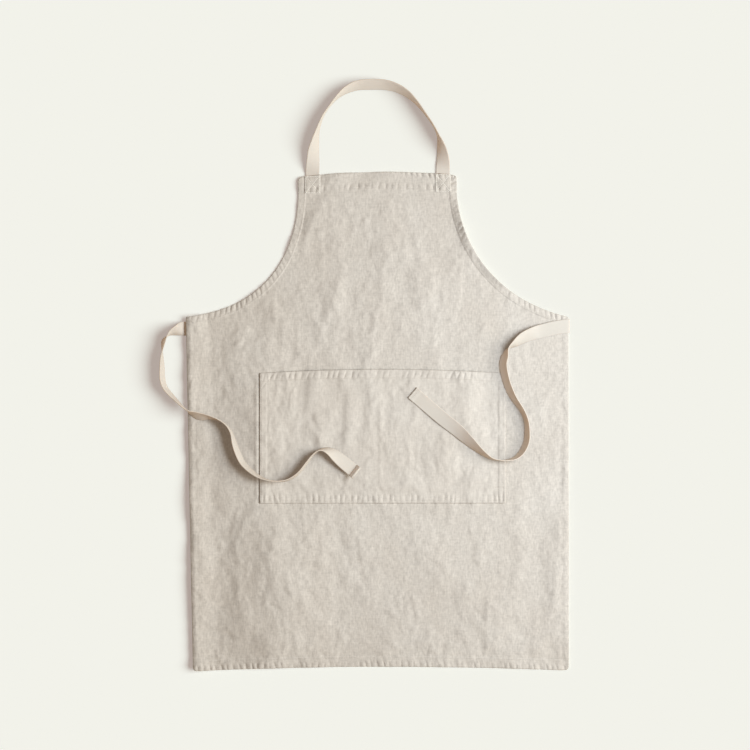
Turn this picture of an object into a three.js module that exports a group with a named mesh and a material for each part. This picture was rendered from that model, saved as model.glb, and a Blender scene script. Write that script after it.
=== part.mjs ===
// Bib apron of linen with a tape neck strap and two tape waist ties, laid out flat on its back.
// Millimetres. X runs across the apron, +Y towards the neck, +Z up from the surface that it lies on.
import * as THREE from "three";

// Cloth and tape
const CLOTH = 1.2; // one layer of linen
const HEM = 2.4; // linen turned over and sewn
const HEM_STEP = 1.5; // width over which a hem thins to one layer
const TAPE_WIDTH = 25;
const TAPE_THICK = 1.2;
const TAPE_HEM_THICK = 2.2; // turned and sewn free end of a tie
const TAPE_HEM = 11;
const GAP = 0.4; // between pieces that lie on each other

// Panel, with bib and skirt in one cut
const TOP_HEM = 30;
const BOTTOM_HEM = 18;
const EDGE_HEM = 13; // along the armholes and sides
const EDGE_HEM_REACH = 45; // longest that it measures along a row, where the armhole runs flat
const CORNER = 7; // rounding of the four corners
const CORNER_TURNS = [0, 45, 90]; // degrees round a corner
const BOW = 7; // how far the middle of a weft row lies above its ends
const PANEL_COLUMNS = 12; // from the middle to each side hem
const SKIRT_ROWS = 22;
const ARMHOLE_ROWS = 14;

// Side edges, as distances from the middle: bib corner, the two handles of the armhole's curve, the waist
// where the armhole meets the side, and the skirt's bottom corner. The apron lies a little askew.
const LEFT_SIDE = {
  sign: -1,
  bib: { x: 146, y: 448 },
  upper: { x: 147, y: 325 },
  lower: { x: 190, y: 208 },
  waist: { x: 351, y: 191 },
  foot: { x: 338, y: -456 },
};
const RIGHT_SIDE = {
  sign: 1,
  bib: { x: 144, y: 451 },
  upper: { x: 147, y: 335 },
  lower: { x: 205, y: 225 },
  waist: { x: 348, y: 191 },
  foot: { x: 349, y: -455 },
};

// Pocket
const POCKET_LEFT = -216;
const POCKET_RIGHT = 233;
const POCKET_BOTTOM = -149;
const POCKET_TOP = 88;
const POCKET_HEM = 14;
const POCKET_BULGE = 6.5; // room between pocket and panel
const POCKET_SEAM = 9; // sewn band along its sides and bottom
const POCKET_RISE = 45; // width over which it lifts from the seam to its full room
const POCKET_RISE_STEPS = 4;
const POCKET_COLUMNS = 8; // across its full room
const POCKET_ROWS = 5; // from its full room up to its hem

// Tape ends that are sewn behind the panel, and the room that the panel leaves over them
const STRAP_LEFT = { x: -120, y: 419, flat: 452 };
const STRAP_RIGHT = { x: 119, y: 422, flat: 456 };
const TIE_SEWN = 31;
const LEFT_TIE_Y = 170;
const RIGHT_TIE_Y = 175;
const TIE_LIFT = 2.2; // height of the left tie where it is sewn behind the rolled edge
const TIE_SLOPE = 22; // length over which it comes down to the surface beside that edge
const TAPE_RAISE = TAPE_THICK + GAP;
const RAISE_BLEND = 40; // width over which the panel comes down from them
const STRAP_ROOM_Y = 414; // raised above this line
const TIE_ROOM = { x: 300, y: 130 }; // raised in the corner outside this point
const LAID_STEP = 8; // spacing of tape sections
const CLEAR = 6; // a tape clears everything within this distance of it
const CLEAR_DIRECTIONS = 8;

// Folds that lift the panel: a ridge through (x, y) that leans from +Y, its length to each end, the widths of
// its two flanks, and its height
const FOLDS = [
  { x: -336, y: -120, lean: -1.2, reach: 600, left: 20, right: 50, height: 8 }, // rolled left edge
  { x: -205, y: 10, lean: 0, reach: 190, left: 95, right: 60, height: 6 }, // left of pocket
  { x: -175, y: -300, lean: 2, reach: 185, left: 115, right: 120, height: 8 }, // below pocket, left
  { x: 328, y: -270, lean: -1, reach: 170, left: 40, right: 45, height: 2.6 }, // right edge
  { x: 212, y: -390, lean: 8, reach: 85, left: 55, right: 75, height: 2.6 }, // hem, right of middle
];
const FOLD_TAPER = 0.5; // share of that length over which a fold comes down at its end

// Tapes. Each row is a section of the centre line. roll turns the section about its heading: 0 lies flat,
// plus raises the right-hand edge, minus the left-hand edge, and 90 stands the tape on edge.
const NECK_STRAP = [
  { x: STRAP_LEFT.x, y: STRAP_LEFT.y, roll: 0 },
  { x: STRAP_LEFT.x, y: STRAP_LEFT.flat, roll: 0 },
  { x: -120, y: 461, roll: -6 },
  { x: -119, y: 476, roll: -22 },
  { x: -118, y: 494, roll: -37 },
  { x: -115, y: 512, roll: -58 },
  { x: -110, y: 534, roll: -78 },
  { x: -101, y: 558, roll: -87 },
  { x: -88, y: 578, roll: -89 },
  { x: -73, y: 595, roll: -80 },
  { x: -57, y: 607, roll: -65 },
  { x: -37, y: 615, roll: -52 },
  { x: -11, y: 617, roll: -46 },
  { x: 13, y: 616, roll: -49 },
  { x: 35, y: 610, roll: -58 },
  { x: 54, y: 599, roll: -67 },
  { x: 71, y: 583, roll: -79 },
  { x: 86, y: 564, roll: -86 },
  { x: 100, y: 544, roll: -88 },
  { x: 110, y: 524, roll: -83 },
  { x: 116, y: 503, roll: -56 },
  { x: 119, y: 480, roll: -26 },
  { x: 119, y: 465, roll: -6 },
  { x: STRAP_RIGHT.x, y: STRAP_RIGHT.flat, roll: 0 },
  { x: STRAP_RIGHT.x, y: STRAP_RIGHT.y, roll: 0 },
];
const LEFT_TIE = [
  { x: TIE_SEWN - LEFT_SIDE.waist.x, y: LEFT_TIE_Y, roll: 0 },
  { x: -352, y: LEFT_TIE_Y, roll: 0 },
  { x: -357, y: 170, roll: 8 },
  { x: -366, y: 167, roll: 42 },
  { x: -377, y: 163, roll: 68 },
  { x: -386, y: 156, roll: 93 },
  { x: -392, y: 147, roll: 108 },
  { x: -394, y: 135, roll: 100 },
  { x: -395, y: 120, roll: 85 },
  { x: -395, y: 100, roll: 75 },
  { x: -394, y: 77, roll: 72 },
  { x: -388, y: 60, roll: 74 },
  { x: -371, y: 41, roll: 80 },
  { x: -351, y: 22, roll: 91 },
  { x: -335, y: 13, roll: 115 },
  { x: -322, y: 9, roll: 119 },
  { x: -309, y: 8, roll: 106 },
  { x: -294, y: 4, roll: 96 },
  { x: -278, y: -6, roll: 90 },
  { x: -268, y: -20, roll: 84 },
  { x: -262, y: -41, roll: 74 },
  { x: -256, y: -57, roll: 70 },
  { x: -247, y: -75, roll: 71 },
  { x: -231, y: -91, roll: 76 },
  { x: -214, y: -102, roll: 84 },
  { x: -195, y: -108, roll: 91 },
  { x: -178, y: -109, roll: 94 },
  { x: -161, y: -105, roll: 96 },
  { x: -144, y: -93, roll: 97 },
  { x: -131, y: -77, roll: 97 },
  { x: -120, y: -63, roll: 96 },
  { x: -110, y: -54, roll: 92 },
  { x: -100, y: -51, roll: 80 },
  { x: -87, y: -55, roll: 57 },
  { x: -75, y: -64, roll: 36 },
  { x: -60, y: -77, roll: 24 },
  { x: -39, y: -94, roll: 18 },
];
const RIGHT_TIE = [
  { x: 340, y: 174, roll: 0 },
  { x: 322, y: 171, roll: 3 },
  { x: 298, y: 165, roll: 10 },
  { x: 281, y: 160, roll: 28 },
  { x: 265, y: 153, roll: 42 },
  { x: 251, y: 143, roll: 62 },
  { x: 238, y: 134, roll: 90 },
  { x: 232, y: 120, roll: 116 },
  { x: 229, y: 106, roll: 118 },
  { x: 231, y: 88, roll: 118 },
  { x: 237, y: 67, roll: 117 },
  { x: 248, y: 43, roll: 113 },
  { x: 263, y: 21, roll: 106 },
  { x: 271, y: 2, roll: 105 },
  { x: 273, y: -19, roll: 109 },
  { x: 271, y: -38, roll: 111 },
  { x: 263, y: -55, roll: 109 },
  { x: 251, y: -66, roll: 101 },
  { x: 237, y: -70, roll: 92 },
  { x: 222, y: -70, roll: 88 },
  { x: 208, y: -67, roll: 83 },
  { x: 196, y: -60, roll: 74 },
  { x: 183, y: -50, roll: 58 },
  { x: 163, y: -32, roll: 33 },
  { x: 143, y: -14, roll: 17 },
  { x: 113, y: 10, roll: 8 },
  { x: 63, y: 53, roll: 2 },
];
const EDGE_TURN_STEPS = 6; // where the right tie turns round the side edge

// Colours
const linen = new THREE.MeshStandardMaterial({ color: 0xd9d0c2, roughness: 0.95, metalness: 0 });
const pocketLinen = new THREE.MeshStandardMaterial({ color: 0xddd4c7, roughness: 0.95, metalness: 0 });
const strapTape = new THREE.MeshStandardMaterial({ color: 0xeee2cf, roughness: 0.9, metalness: 0 });
const leftTape = strapTape.clone();
const rightTape = strapTape.clone();

const range = (count) => Array.from({ length: count }, (_, i) => i);
const mix = (a, b, share) => a + (b - a) * share;
const ease = (share) => THREE.MathUtils.smoothstep(share, 0, 1);

// Height of a fold at a point: rounded across its two flanks and tapering towards its ends
function foldHeight(fold, x, y) {
  const lean = THREE.MathUtils.degToRad(fold.lean);
  const along = (y - fold.y) * Math.cos(lean) + (x - fold.x) * Math.sin(lean);
  const across = (x - fold.x) * Math.cos(lean) - (y - fold.y) * Math.sin(lean);
  const flank = across < 0 ? fold.left : fold.right;
  const side = 1 - Math.abs(across) / flank;
  const end = 1 - Math.abs(along) / fold.reach;
  return fold.height * ease(side) * ease(end / FOLD_TAPER);
}

// How far the panel is raised by the tape ends sewn behind it
function tapeRaise(x, y) {
  const overStrap = ease(1 + (y - STRAP_ROOM_Y) / RAISE_BLEND);
  const outwards = ease(1 + (Math.abs(x) - TIE_ROOM.x) / RAISE_BLEND);
  const upwards = ease(1 + (y - TIE_ROOM.y) / RAISE_BLEND);
  return TAPE_RAISE * Math.max(overStrap, outwards * upwards);
}

function panelUnder(x, y) {
  const folds = FOLDS.reduce((sum, fold) => sum + foldHeight(fold, x, y), 0);
  return Math.max(folds, tapeRaise(x, y));
}

function solidGeometry(position, index) {
  const geometry = new THREE.BufferGeometry();
  geometry.setAttribute("position", new THREE.Float32BufferAttribute(position, 3));
  geometry.setIndex(index);
  geometry.computeVertexNormals();
  return geometry;
}

// Closed sheet from a grid of points, each with the height of its underside and its thickness
function sheetGeometry(rows) {
  const width = rows[0].length;
  const count = rows.length * width;
  const points = rows.flat();
  const position = [
    ...points.flatMap((p) => [p.x, p.y, p.under + p.thick]),
    ...points.flatMap((p) => [p.x, p.y, p.under]),
  ];
  const index = [];
  const quad = (a, b, c, d) => index.push(a, b, c, a, c, d);
  for (const r of range(rows.length - 1)) {
    for (const c of range(width - 1)) {
      const at = r * width + c;
      quad(at, at + 1, at + 1 + width, at + width);
      quad(count + at, count + at + width, count + at + 1 + width, count + at + 1);
    }
  }
  const last = (rows.length - 1) * width;
  const rim = [
    ...range(width),
    ...range(rows.length).slice(1).map((r) => r * width + width - 1),
    ...range(width - 1).reverse().map((c) => last + c),
    ...range(rows.length).slice(1, -1).reverse().map((r) => r * width),
  ];
  rim.forEach((at, i) => {
    const next = rim[(i + 1) % rim.length];
    quad(count + at, count + next, next, at);
  });
  return solidGeometry(position, index);
}

// Points of one side edge from the bottom corner to the top corner, with the hem's reach along the row
function sideEdge(side) {
  const { bib, upper, lower, waist, foot } = side;
  const points = [];
  const skirtX = (y) => mix(waist.x, foot.x, (waist.y - y) / (waist.y - foot.y));
  const rounded = (turn) => {
    const angle = THREE.MathUtils.degToRad(turn);
    return { inwards: CORNER * (1 - Math.cos(angle)), towards: CORNER * (1 - Math.sin(angle)) };
  };
  for (const turn of CORNER_TURNS.toReversed()) {
    const { inwards, towards } = rounded(turn);
    points.push({ x: foot.x - inwards, y: foot.y + towards, hem: EDGE_HEM, thick: HEM });
  }
  const hemLine = foot.y + BOTTOM_HEM;
  points.push({ x: skirtX(hemLine), y: hemLine - HEM_STEP, hem: EDGE_HEM, thick: HEM });
  for (const i of range(SKIRT_ROWS)) {
    const y = mix(hemLine, waist.y - EDGE_HEM, i / (SKIRT_ROWS - 1));
    points.push({ x: skirtX(y), y, hem: EDGE_HEM, thick: CLOTH });
  }
  const armhole = new THREE.CubicBezierCurve(
    new THREE.Vector2(waist.x, waist.y),
    new THREE.Vector2(lower.x, lower.y),
    new THREE.Vector2(upper.x, upper.y),
    new THREE.Vector2(bib.x, bib.y - TOP_HEM),
  );
  for (const i of range(ARMHOLE_ROWS + 1)) {
    const { x, y } = armhole.getPoint(i / ARMHOLE_ROWS);
    const steepness = armhole.getTangent(i / ARMHOLE_ROWS).y;
    points.push({ x, y, hem: Math.min(EDGE_HEM / steepness, EDGE_HEM_REACH), thick: CLOTH });
  }
  points.push({ x: bib.x, y: bib.y - TOP_HEM + HEM_STEP, hem: EDGE_HEM, thick: HEM });
  for (const turn of CORNER_TURNS) {
    const { inwards, towards } = rounded(turn);
    points.push({ x: bib.x - inwards, y: bib.y - towards, hem: EDGE_HEM, thick: HEM });
  }
  return points;
}

// Columns of half a row, from half a step beside the middle out to its side edge
function halfRow(edge, sign) {
  const inner = edge.x - edge.hem - HEM_STEP;
  const step = inner / (PANEL_COLUMNS + 0.5);
  return [
    ...range(PANEL_COLUMNS + 1).map((i) => ({ x: step * (i + 0.5), thick: edge.thick })),
    { x: edge.x - edge.hem, thick: HEM },
    { x: edge.x, thick: HEM },
  ].map(({ x, thick }) => ({ x: sign * x, thick, share: x / edge.x }));
}

function panel() {
  const rightEdge = sideEdge(RIGHT_SIDE);
  const grid = sideEdge(LEFT_SIDE).map((left, i) => {
    const right = rightEdge[i];
    const middle = (left.y + right.y) / 2;
    const columns = [...halfRow(left, LEFT_SIDE.sign).reverse(), ...halfRow(right, RIGHT_SIDE.sign)];
    return columns.map(({ x, thick, share }) => {
      const y = mix(middle, x < 0 ? left.y : right.y, share) + BOW * (1 - share ** 2);
      return { x, y, under: panelUnder(x, y), thick };
    });
  });
  return sheetGeometry(grid);
}

const POCKET_MIDDLE = (POCKET_LEFT + POCKET_RIGHT) / 2;
const POCKET_HALF = (POCKET_RIGHT - POCKET_LEFT) / 2;
const pocketTop = (x) => POCKET_TOP + BOW * (1 - ((x - POCKET_MIDDLE) / POCKET_HALF) ** 2);

// Underside of the pocket: down on the panel along its seams, lifted off it in the middle and at the mouth
function pocketUnder(x, y) {
  const fromSide = POCKET_HALF - Math.abs(x - POCKET_MIDDLE);
  const fromBottom = y - POCKET_BOTTOM;
  const lift = ease((fromSide - POCKET_SEAM) / POCKET_RISE) * ease((fromBottom - POCKET_SEAM) / POCKET_RISE);
  return panelUnder(x, y) + CLOTH + GAP + POCKET_BULGE * lift;
}

function pocket() {
  const rise = range(POCKET_RISE_STEPS + 1).map((i) => POCKET_SEAM + (POCKET_RISE * i) / POCKET_RISE_STEPS);
  const reach = POCKET_SEAM + POCKET_RISE;
  const between = (a, b, steps) => range(steps).slice(1).map((i) => mix(a, b, i / steps));
  const columns = [
    ...[0, ...rise].map((d) => POCKET_LEFT + d),
    ...between(POCKET_LEFT + reach, POCKET_RIGHT - reach, POCKET_COLUMNS),
    ...[0, ...rise].reverse().map((d) => POCKET_RIGHT - d),
  ];
  const hemLine = POCKET_TOP - POCKET_HEM;
  const rows = [
    { y: POCKET_BOTTOM, thick: HEM },
    ...rise.map((d) => ({ y: POCKET_BOTTOM + d, thick: CLOTH })),
    ...between(POCKET_BOTTOM + reach, hemLine, POCKET_ROWS).map((y) => ({ y, thick: CLOTH })),
    { y: hemLine - HEM_STEP, thick: CLOTH },
    { y: hemLine, thick: HEM },
    { y: POCKET_TOP, thick: HEM },
  ];
  const grid = rows.map((row) =>
    columns.map((x) => {
      const share = (row.y - POCKET_BOTTOM) / (POCKET_TOP - POCKET_BOTTOM);
      const y = mix(POCKET_BOTTOM, pocketTop(x), share);
      const atSide = x === POCKET_LEFT || x === POCKET_RIGHT;
      return { x, y, under: pocketUnder(x, y), thick: atSide ? HEM : row.thick };
    }),
  );
  return sheetGeometry(grid);
}

// Top of whatever lies at a point: pocket, panel, or the surface that the apron lies on
const bareSurface = () => -GAP;
function clothTop(x, y) {
  const besidePocket = x < POCKET_LEFT || x > POCKET_RIGHT;
  if (!besidePocket && y > POCKET_BOTTOM && y < pocketTop(x)) {
    return pocketUnder(x, y) + HEM;
  }
  const fromSide = (x < 0 ? LEFT_SIDE : RIGHT_SIDE).waist.x - Math.abs(x);
  if (fromSide < 0) {
    return bareSurface();
  }
  return panelUnder(x, y) + (fromSide < EDGE_HEM + HEM_STEP ? HEM : CLOTH);
}

// The left tie starts behind the panel's rolled edge, slopes down to the surface beside it and comes up over
// the same edge lower down
function leftTieSupport(x, y) {
  if (y < TIE_ROOM.y - RAISE_BLEND) {
    return clothTop(x, y);
  }
  const outside = -LEFT_SIDE.waist.x - x;
  return bareSurface() + TIE_LIFT * ease(1 - outside / TIE_SLOPE);
}

// Highest support close to a point, so that a tape clears the steps beside it as well
function supportNear(support, x, y) {
  const around = range(CLEAR_DIRECTIONS).map((i) => {
    const angle = (2 * Math.PI * i) / CLEAR_DIRECTIONS;
    return support(x + CLEAR * Math.cos(angle), y + CLEAR * Math.sin(angle));
  });
  return Math.max(support(x, y), ...around);
}

// Sections of a tape laid along a table of rows, resting on its support with its lower edge
function laidSections(table, support) {
  const rows = table.map((row) => new THREE.Vector3(row.x, row.y, row.roll));
  const curve = new THREE.CatmullRomCurve3(rows, false, "catmullrom");
  const spans = table.length - 1;
  const shares = range(spans).flatMap((s) => {
    const length = Math.hypot(table[s + 1].x - table[s].x, table[s + 1].y - table[s].y);
    const steps = Math.max(1, Math.round(length / LAID_STEP));
    return range(steps).map((i) => (s + i / steps) / spans);
  });
  const sections = [...shares, 1].map((share) => {
    const point = curve.getPoint(share);
    const heading = curve.getTangent(share).setZ(0).normalize();
    const roll = THREE.MathUtils.degToRad(point.z);
    const right = new THREE.Vector3(heading.y, -heading.x, 0);
    const across = right.multiplyScalar(Math.cos(roll)).setZ(Math.sin(roll));
    const plan = point.setZ(0);
    const bases = [-1, 0, 1].map((side) => {
      const foot = plan.clone().addScaledVector(across, (side * TAPE_WIDTH) / 2);
      return supportNear(support, foot.x, foot.y) + GAP;
    });
    const rise = (TAPE_WIDTH * Math.abs(Math.sin(roll)) + TAPE_THICK * Math.abs(Math.cos(roll))) / 2;
    return { plan, across, rise, base: Math.max(...bases) };
  });
  const around = (list, i) => list.slice(Math.max(0, i - 1), i + 2);
  const raised = sections.map((_, i) => Math.max(...around(sections, i).map((section) => section.base)));
  return sections.map(({ plan, across, rise }, i) => {
    const near = around(raised, i);
    const base = near.reduce((sum, height) => sum + height, 0) / near.length;
    return { centre: plan.clone().setZ(base + rise), across, thick: TAPE_THICK };
  });
}

// Doubles the last stretch of a tie, where its end is turned back and sewn
function turnedEnd(sections) {
  const end = sections[sections.length - 1].centre;
  return sections.map((section) => {
    const thick = section.centre.distanceTo(end) < TAPE_HEM ? TAPE_HEM_THICK : section.thick;
    const lift = (thick - section.thick) / 2;
    return { ...section, thick, centre: section.centre.clone().add(new THREE.Vector3(0, 0, lift)) };
  });
}

// Closed band through sections, each with its centre, its direction across and its thickness
function bandGeometry(sections) {
  const corners = [[1, 1], [-1, 1], [-1, -1], [1, -1]];
  const index = [];
  const quad = (a, b, c, d) => index.push(a, b, c, a, c, d);
  const position = sections.flatMap((section, i) => {
    const before = sections[Math.max(0, i - 1)].centre;
    const after = sections[Math.min(sections.length - 1, i + 1)].centre;
    const face = after.clone().sub(before).cross(section.across).normalize();
    return corners.flatMap(([side, layer]) => {
      const corner = section.centre.clone();
      corner.addScaledVector(section.across, (side * TAPE_WIDTH) / 2);
      corner.addScaledVector(face, (layer * section.thick) / 2);
      return corner.toArray();
    });
  });
  for (const i of range(sections.length - 1)) {
    for (const k of range(4)) {
      const a = i * 4 + k;
      const b = i * 4 + ((k + 1) % 4);
      quad(a, b, b + 4, a + 4);
    }
  }
  const end = (sections.length - 1) * 4;
  quad(3, 2, 1, 0);
  quad(end, end + 1, end + 2, end + 3);
  return solidGeometry(position, index);
}

function neckStrap() {
  return bandGeometry(laidSections(NECK_STRAP, bareSurface));
}

function leftTie() {
  return bandGeometry(turnedEnd(laidSections(LEFT_TIE, leftTieSupport)));
}

// The right tie comes out from behind the panel and turns round its side edge before it is laid on the front
function rightTie() {
  const laid = laidSections(RIGHT_TIE, clothTop);
  const low = TAPE_THICK / 2;
  const radius = (laid[0].centre.z - low) / 2;
  const edge = RIGHT_SIDE.waist.x + GAP;
  const sewn = [TIE_SEWN, TIE_SEWN / 2].map((d) => new THREE.Vector3(edge - d, RIGHT_TIE_Y, low));
  const turn = range(EDGE_TURN_STEPS + 1).map((i) => {
    const angle = Math.PI * (i / EDGE_TURN_STEPS - 0.5);
    const out = radius * Math.cos(angle);
    return new THREE.Vector3(edge + out, RIGHT_TIE_Y, low + radius + radius * Math.sin(angle));
  });
  const across = new THREE.Vector3(0, 1, 0);
  const behind = [...sewn, ...turn].map((centre) => ({ centre, across, thick: TAPE_THICK }));
  return bandGeometry(turnedEnd([...behind, ...laid]));
}

function piece(name, geometry, material) {
  const mesh = new THREE.Mesh(geometry, material);
  mesh.name = name;
  return mesh;
}

const apron = new THREE.Group();
apron.add(
  piece("panel", panel(), linen),
  piece("pocket", pocket(), pocketLinen),
  piece("neck_strap", neckStrap(), strapTape),
  piece("waist_tie_left", leftTie(), leftTape),
  piece("waist_tie_right", rightTie(), rightTape),
);

export default apron;
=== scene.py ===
# %% [markdown]
# # A linen bib apron, laid out flat
# This lesson dresses five plain solids as cloth: a linen panel, its patch pocket, a neck strap and two
# waist ties of cotton tape. The solids give every place and size. Each one is replaced here by a finer
# sheet that lies in the same space, with the hems, puckers, creases and stitches that the solids leave
# out.

# %% Load the solids
import math
from collections import namedtuple

import bpy
import numpy as np
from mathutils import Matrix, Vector, geometry, kdtree


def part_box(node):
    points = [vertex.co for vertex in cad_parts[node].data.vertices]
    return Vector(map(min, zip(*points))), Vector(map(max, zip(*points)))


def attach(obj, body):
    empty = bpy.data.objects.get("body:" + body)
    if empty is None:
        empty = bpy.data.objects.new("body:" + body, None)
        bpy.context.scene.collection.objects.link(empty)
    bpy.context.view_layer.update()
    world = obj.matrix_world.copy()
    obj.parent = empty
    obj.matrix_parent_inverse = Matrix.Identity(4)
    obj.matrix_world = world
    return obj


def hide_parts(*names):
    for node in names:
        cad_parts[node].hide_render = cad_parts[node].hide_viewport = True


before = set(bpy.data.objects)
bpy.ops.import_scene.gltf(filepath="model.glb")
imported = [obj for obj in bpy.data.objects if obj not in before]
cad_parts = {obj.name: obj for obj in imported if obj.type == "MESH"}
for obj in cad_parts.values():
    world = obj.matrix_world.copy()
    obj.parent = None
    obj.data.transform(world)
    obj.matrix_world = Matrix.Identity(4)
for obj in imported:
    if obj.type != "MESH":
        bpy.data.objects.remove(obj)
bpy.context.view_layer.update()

for name in sorted(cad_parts):
    low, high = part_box(name)
    print(name, "measures", [round((b - a) * 1000) for a, b in zip(low, high)], "mm")

# %% [markdown]
# ## Helpers for soft shapes
# Cloth has no straight steps. `ease` turns a share from 0 to 1 into a soft slope, and `cloth_noise` is a
# smooth random surface on a lattice of random slopes. Blender has noise functions too, but this one takes
# whole arrays of points, so a hundred thousand points cost one call. The seed makes it the same on every
# run.

# %% Soft steps and smooth noise
LATTICE = 256
NOISE_GAIN = 1.5


def ease(share):
    share = np.clip(share, 0, 1)
    return share * share * (3 - 2 * share)


def mix(a, b, share):
    return a + (b - a) * share


def mm(metres):
    """A length in millimetres, for printing."""
    return round(metres * 1000, 2)


def cloth_noise(across, along, seed):
    """Smooth noise from about -1 to 1 with one bump for each unit across and along."""
    turns = np.random.default_rng(seed).random((LATTICE, LATTICE)) * math.tau
    column = np.floor(across).astype(int)
    row = np.floor(along).astype(int)
    u = across - column
    v = along - row

    def slope_from(i, j):
        turn = turns[(row + j) % LATTICE, (column + i) % LATTICE]
        return np.cos(turn) * (u - i) + np.sin(turn) * (v - j)

    low = mix(slope_from(0, 0), slope_from(1, 0), ease(u))
    high = mix(slope_from(0, 1), slope_from(1, 1), ease(u))
    return NOISE_GAIN * mix(low, high, ease(v))


print("noise repeats after", LATTICE, "bumps")

# %% [markdown]
# ## The panel's outline
# Bib and skirt are one cut of linen. Its outline is the pattern piece that a sewer would draw: a straight
# hem above and below, straight sides, and two armholes that are each one cubic curve. The left and right
# side have their own numbers, because the apron lies a little askew. The middle of each crosswise thread
# bows upwards, so the top and bottom edges are shallow arcs.

# %% Outline of the panel
Side = namedtuple("Side", "sign bib upper lower waist foot")
LEFT_SIDE = Side(-1, (0.146, 0.448), (0.147, 0.325), (0.190, 0.208), (0.351, 0.191), (0.338, -0.456))
RIGHT_SIDE = Side(1, (0.144, 0.451), (0.147, 0.335), (0.205, 0.225), (0.348, 0.191), (0.349, -0.455))
TOP_HEM = 0.030
BOTTOM_HEM = 0.018
EDGE_HEM = 0.013
CORNER = 0.007
BOW = 0.007
CORNER_POINTS = 7
LINE_POINTS = 200
EDGE_STEP = 0.001


def spaced(line, step):
    """The same line with its points about one step apart."""
    lengths = np.r_[0, np.cumsum(np.hypot(*np.diff(line, axis=0).T))]
    count = max(2, round(lengths[-1] / step) + 1)
    at = np.linspace(0, lengths[-1], count)
    return np.stack([np.interp(at, lengths, column) for column in line.T], axis=1)


def side_line(side):
    """One side edge from the bottom corner up to the top corner."""
    turn = np.radians(np.linspace(90, 0, CORNER_POINTS))
    corner = CORNER * np.stack([np.cos(turn) - 1, 1 - np.sin(turn)], axis=1)
    y = np.linspace(side.foot[1] + CORNER, side.waist[1] - EDGE_HEM, LINE_POINTS)
    share = (side.waist[1] - y) / (side.waist[1] - side.foot[1])
    skirt = np.stack([mix(side.waist[0], side.foot[0], share), y], axis=1)
    t = np.linspace(0, 1, LINE_POINTS)[:, None]
    ends = [side.waist, side.lower, side.upper, (side.bib[0], side.bib[1] - TOP_HEM)]
    weights = [(1 - t) ** 3, 3 * t * (1 - t) ** 2, 3 * t**2 * (1 - t), t**3]
    armhole = sum(weight * np.array(point) for weight, point in zip(weights, ends))
    top = np.array(side.bib) + corner[::-1] * [1, -1]
    return np.concatenate([side.foot + corner, skirt, armhole, top]) * [side.sign, 1]


def edge_y(x, left, right):
    """Height of the top or bottom edge, between its left and right corner."""
    end = np.where(x < 0, left[1], right[1])
    share = np.abs(x) / (np.where(x < 0, left[0], right[0]) - CORNER)
    return mix((left[1] + right[1]) / 2, end, share) + BOW * (1 - share**2)


def bottom_y(x):
    return edge_y(x, LEFT_SIDE.foot, RIGHT_SIDE.foot)


def top_y(x):
    return edge_y(x, LEFT_SIDE.bib, RIGHT_SIDE.bib)


left_line = spaced(side_line(LEFT_SIDE), EDGE_STEP)
right_line = spaced(side_line(RIGHT_SIDE), EDGE_STEP)
bottom_x = np.linspace(left_line[0, 0], right_line[0, 0], LINE_POINTS)[1:-1]
top_x = np.linspace(right_line[-1, 0], left_line[-1, 0], LINE_POINTS)[1:-1]
panel_outline = np.concatenate(
    [
        np.stack([bottom_x, bottom_y(bottom_x)], axis=1),
        right_line,
        np.stack([top_x, top_y(top_x)], axis=1),
        left_line[::-1],
    ]
)
around = np.roll(panel_outline, -1, axis=0)
panel_area = abs(np.sum(panel_outline[:, 0] * around[:, 1] - around[:, 0] * panel_outline[:, 1])) / 2
print("panel area", round(panel_area, 3), "square metres")

# %% [markdown]
# ## How far from the edge
# Hems, puckers and wear all follow the edges, so each point has to know how far it is from the nearest
# side edge and how far along that edge it lies. A k-d tree finds the nearest of the side's points quickly,
# and the edge's own direction there gives the exact distance.

# %% Distance from the side edges
def edge_frame(line, inwards):
    """Directions along a line of points, and square to it on the side given by inwards."""
    along = np.gradient(line, axis=0)
    along /= np.linalg.norm(along, axis=1)[:, None]
    return along, inwards * np.stack([-along[:, 1], along[:, 0]], axis=1)


def tree_of(points):
    """A k-d tree of flat points."""
    tree = kdtree.KDTree(len(points))
    for i, point in enumerate(points):
        tree.insert((*point, 0), i)
    tree.balance()
    return tree


side_points = np.concatenate([left_line, right_line])
frames = [edge_frame(left_line, -1), edge_frame(right_line, 1)]
side_along = np.concatenate([along for along, _ in frames])
side_inward = np.concatenate([inward for _, inward in frames])
side_length = np.concatenate([np.arange(len(left_line)), np.arange(len(right_line))]) * EDGE_STEP
side_tree = tree_of(side_points)


def near_side(x, y):
    """Distance inwards from the nearest side edge, and length along it from the bottom corner."""
    nearest = np.array([side_tree.find((a, b, 0))[1] for a, b in zip(x, y)])
    offset = np.stack([x, y], axis=1) - side_points[nearest]
    inward = np.sum(offset * side_inward[nearest], axis=1)
    along = side_length[nearest] + np.sum(offset * side_along[nearest], axis=1)
    return inward, along


waist_length = side_length[np.argmin(np.hypot(*(left_line - [-LEFT_SIDE.waist[0], LEFT_SIDE.waist[1]]).T))]
print("skirt sides", round(waist_length, 3), "m, armholes", round(side_length[-1] - waist_length, 3), "m")
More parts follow.
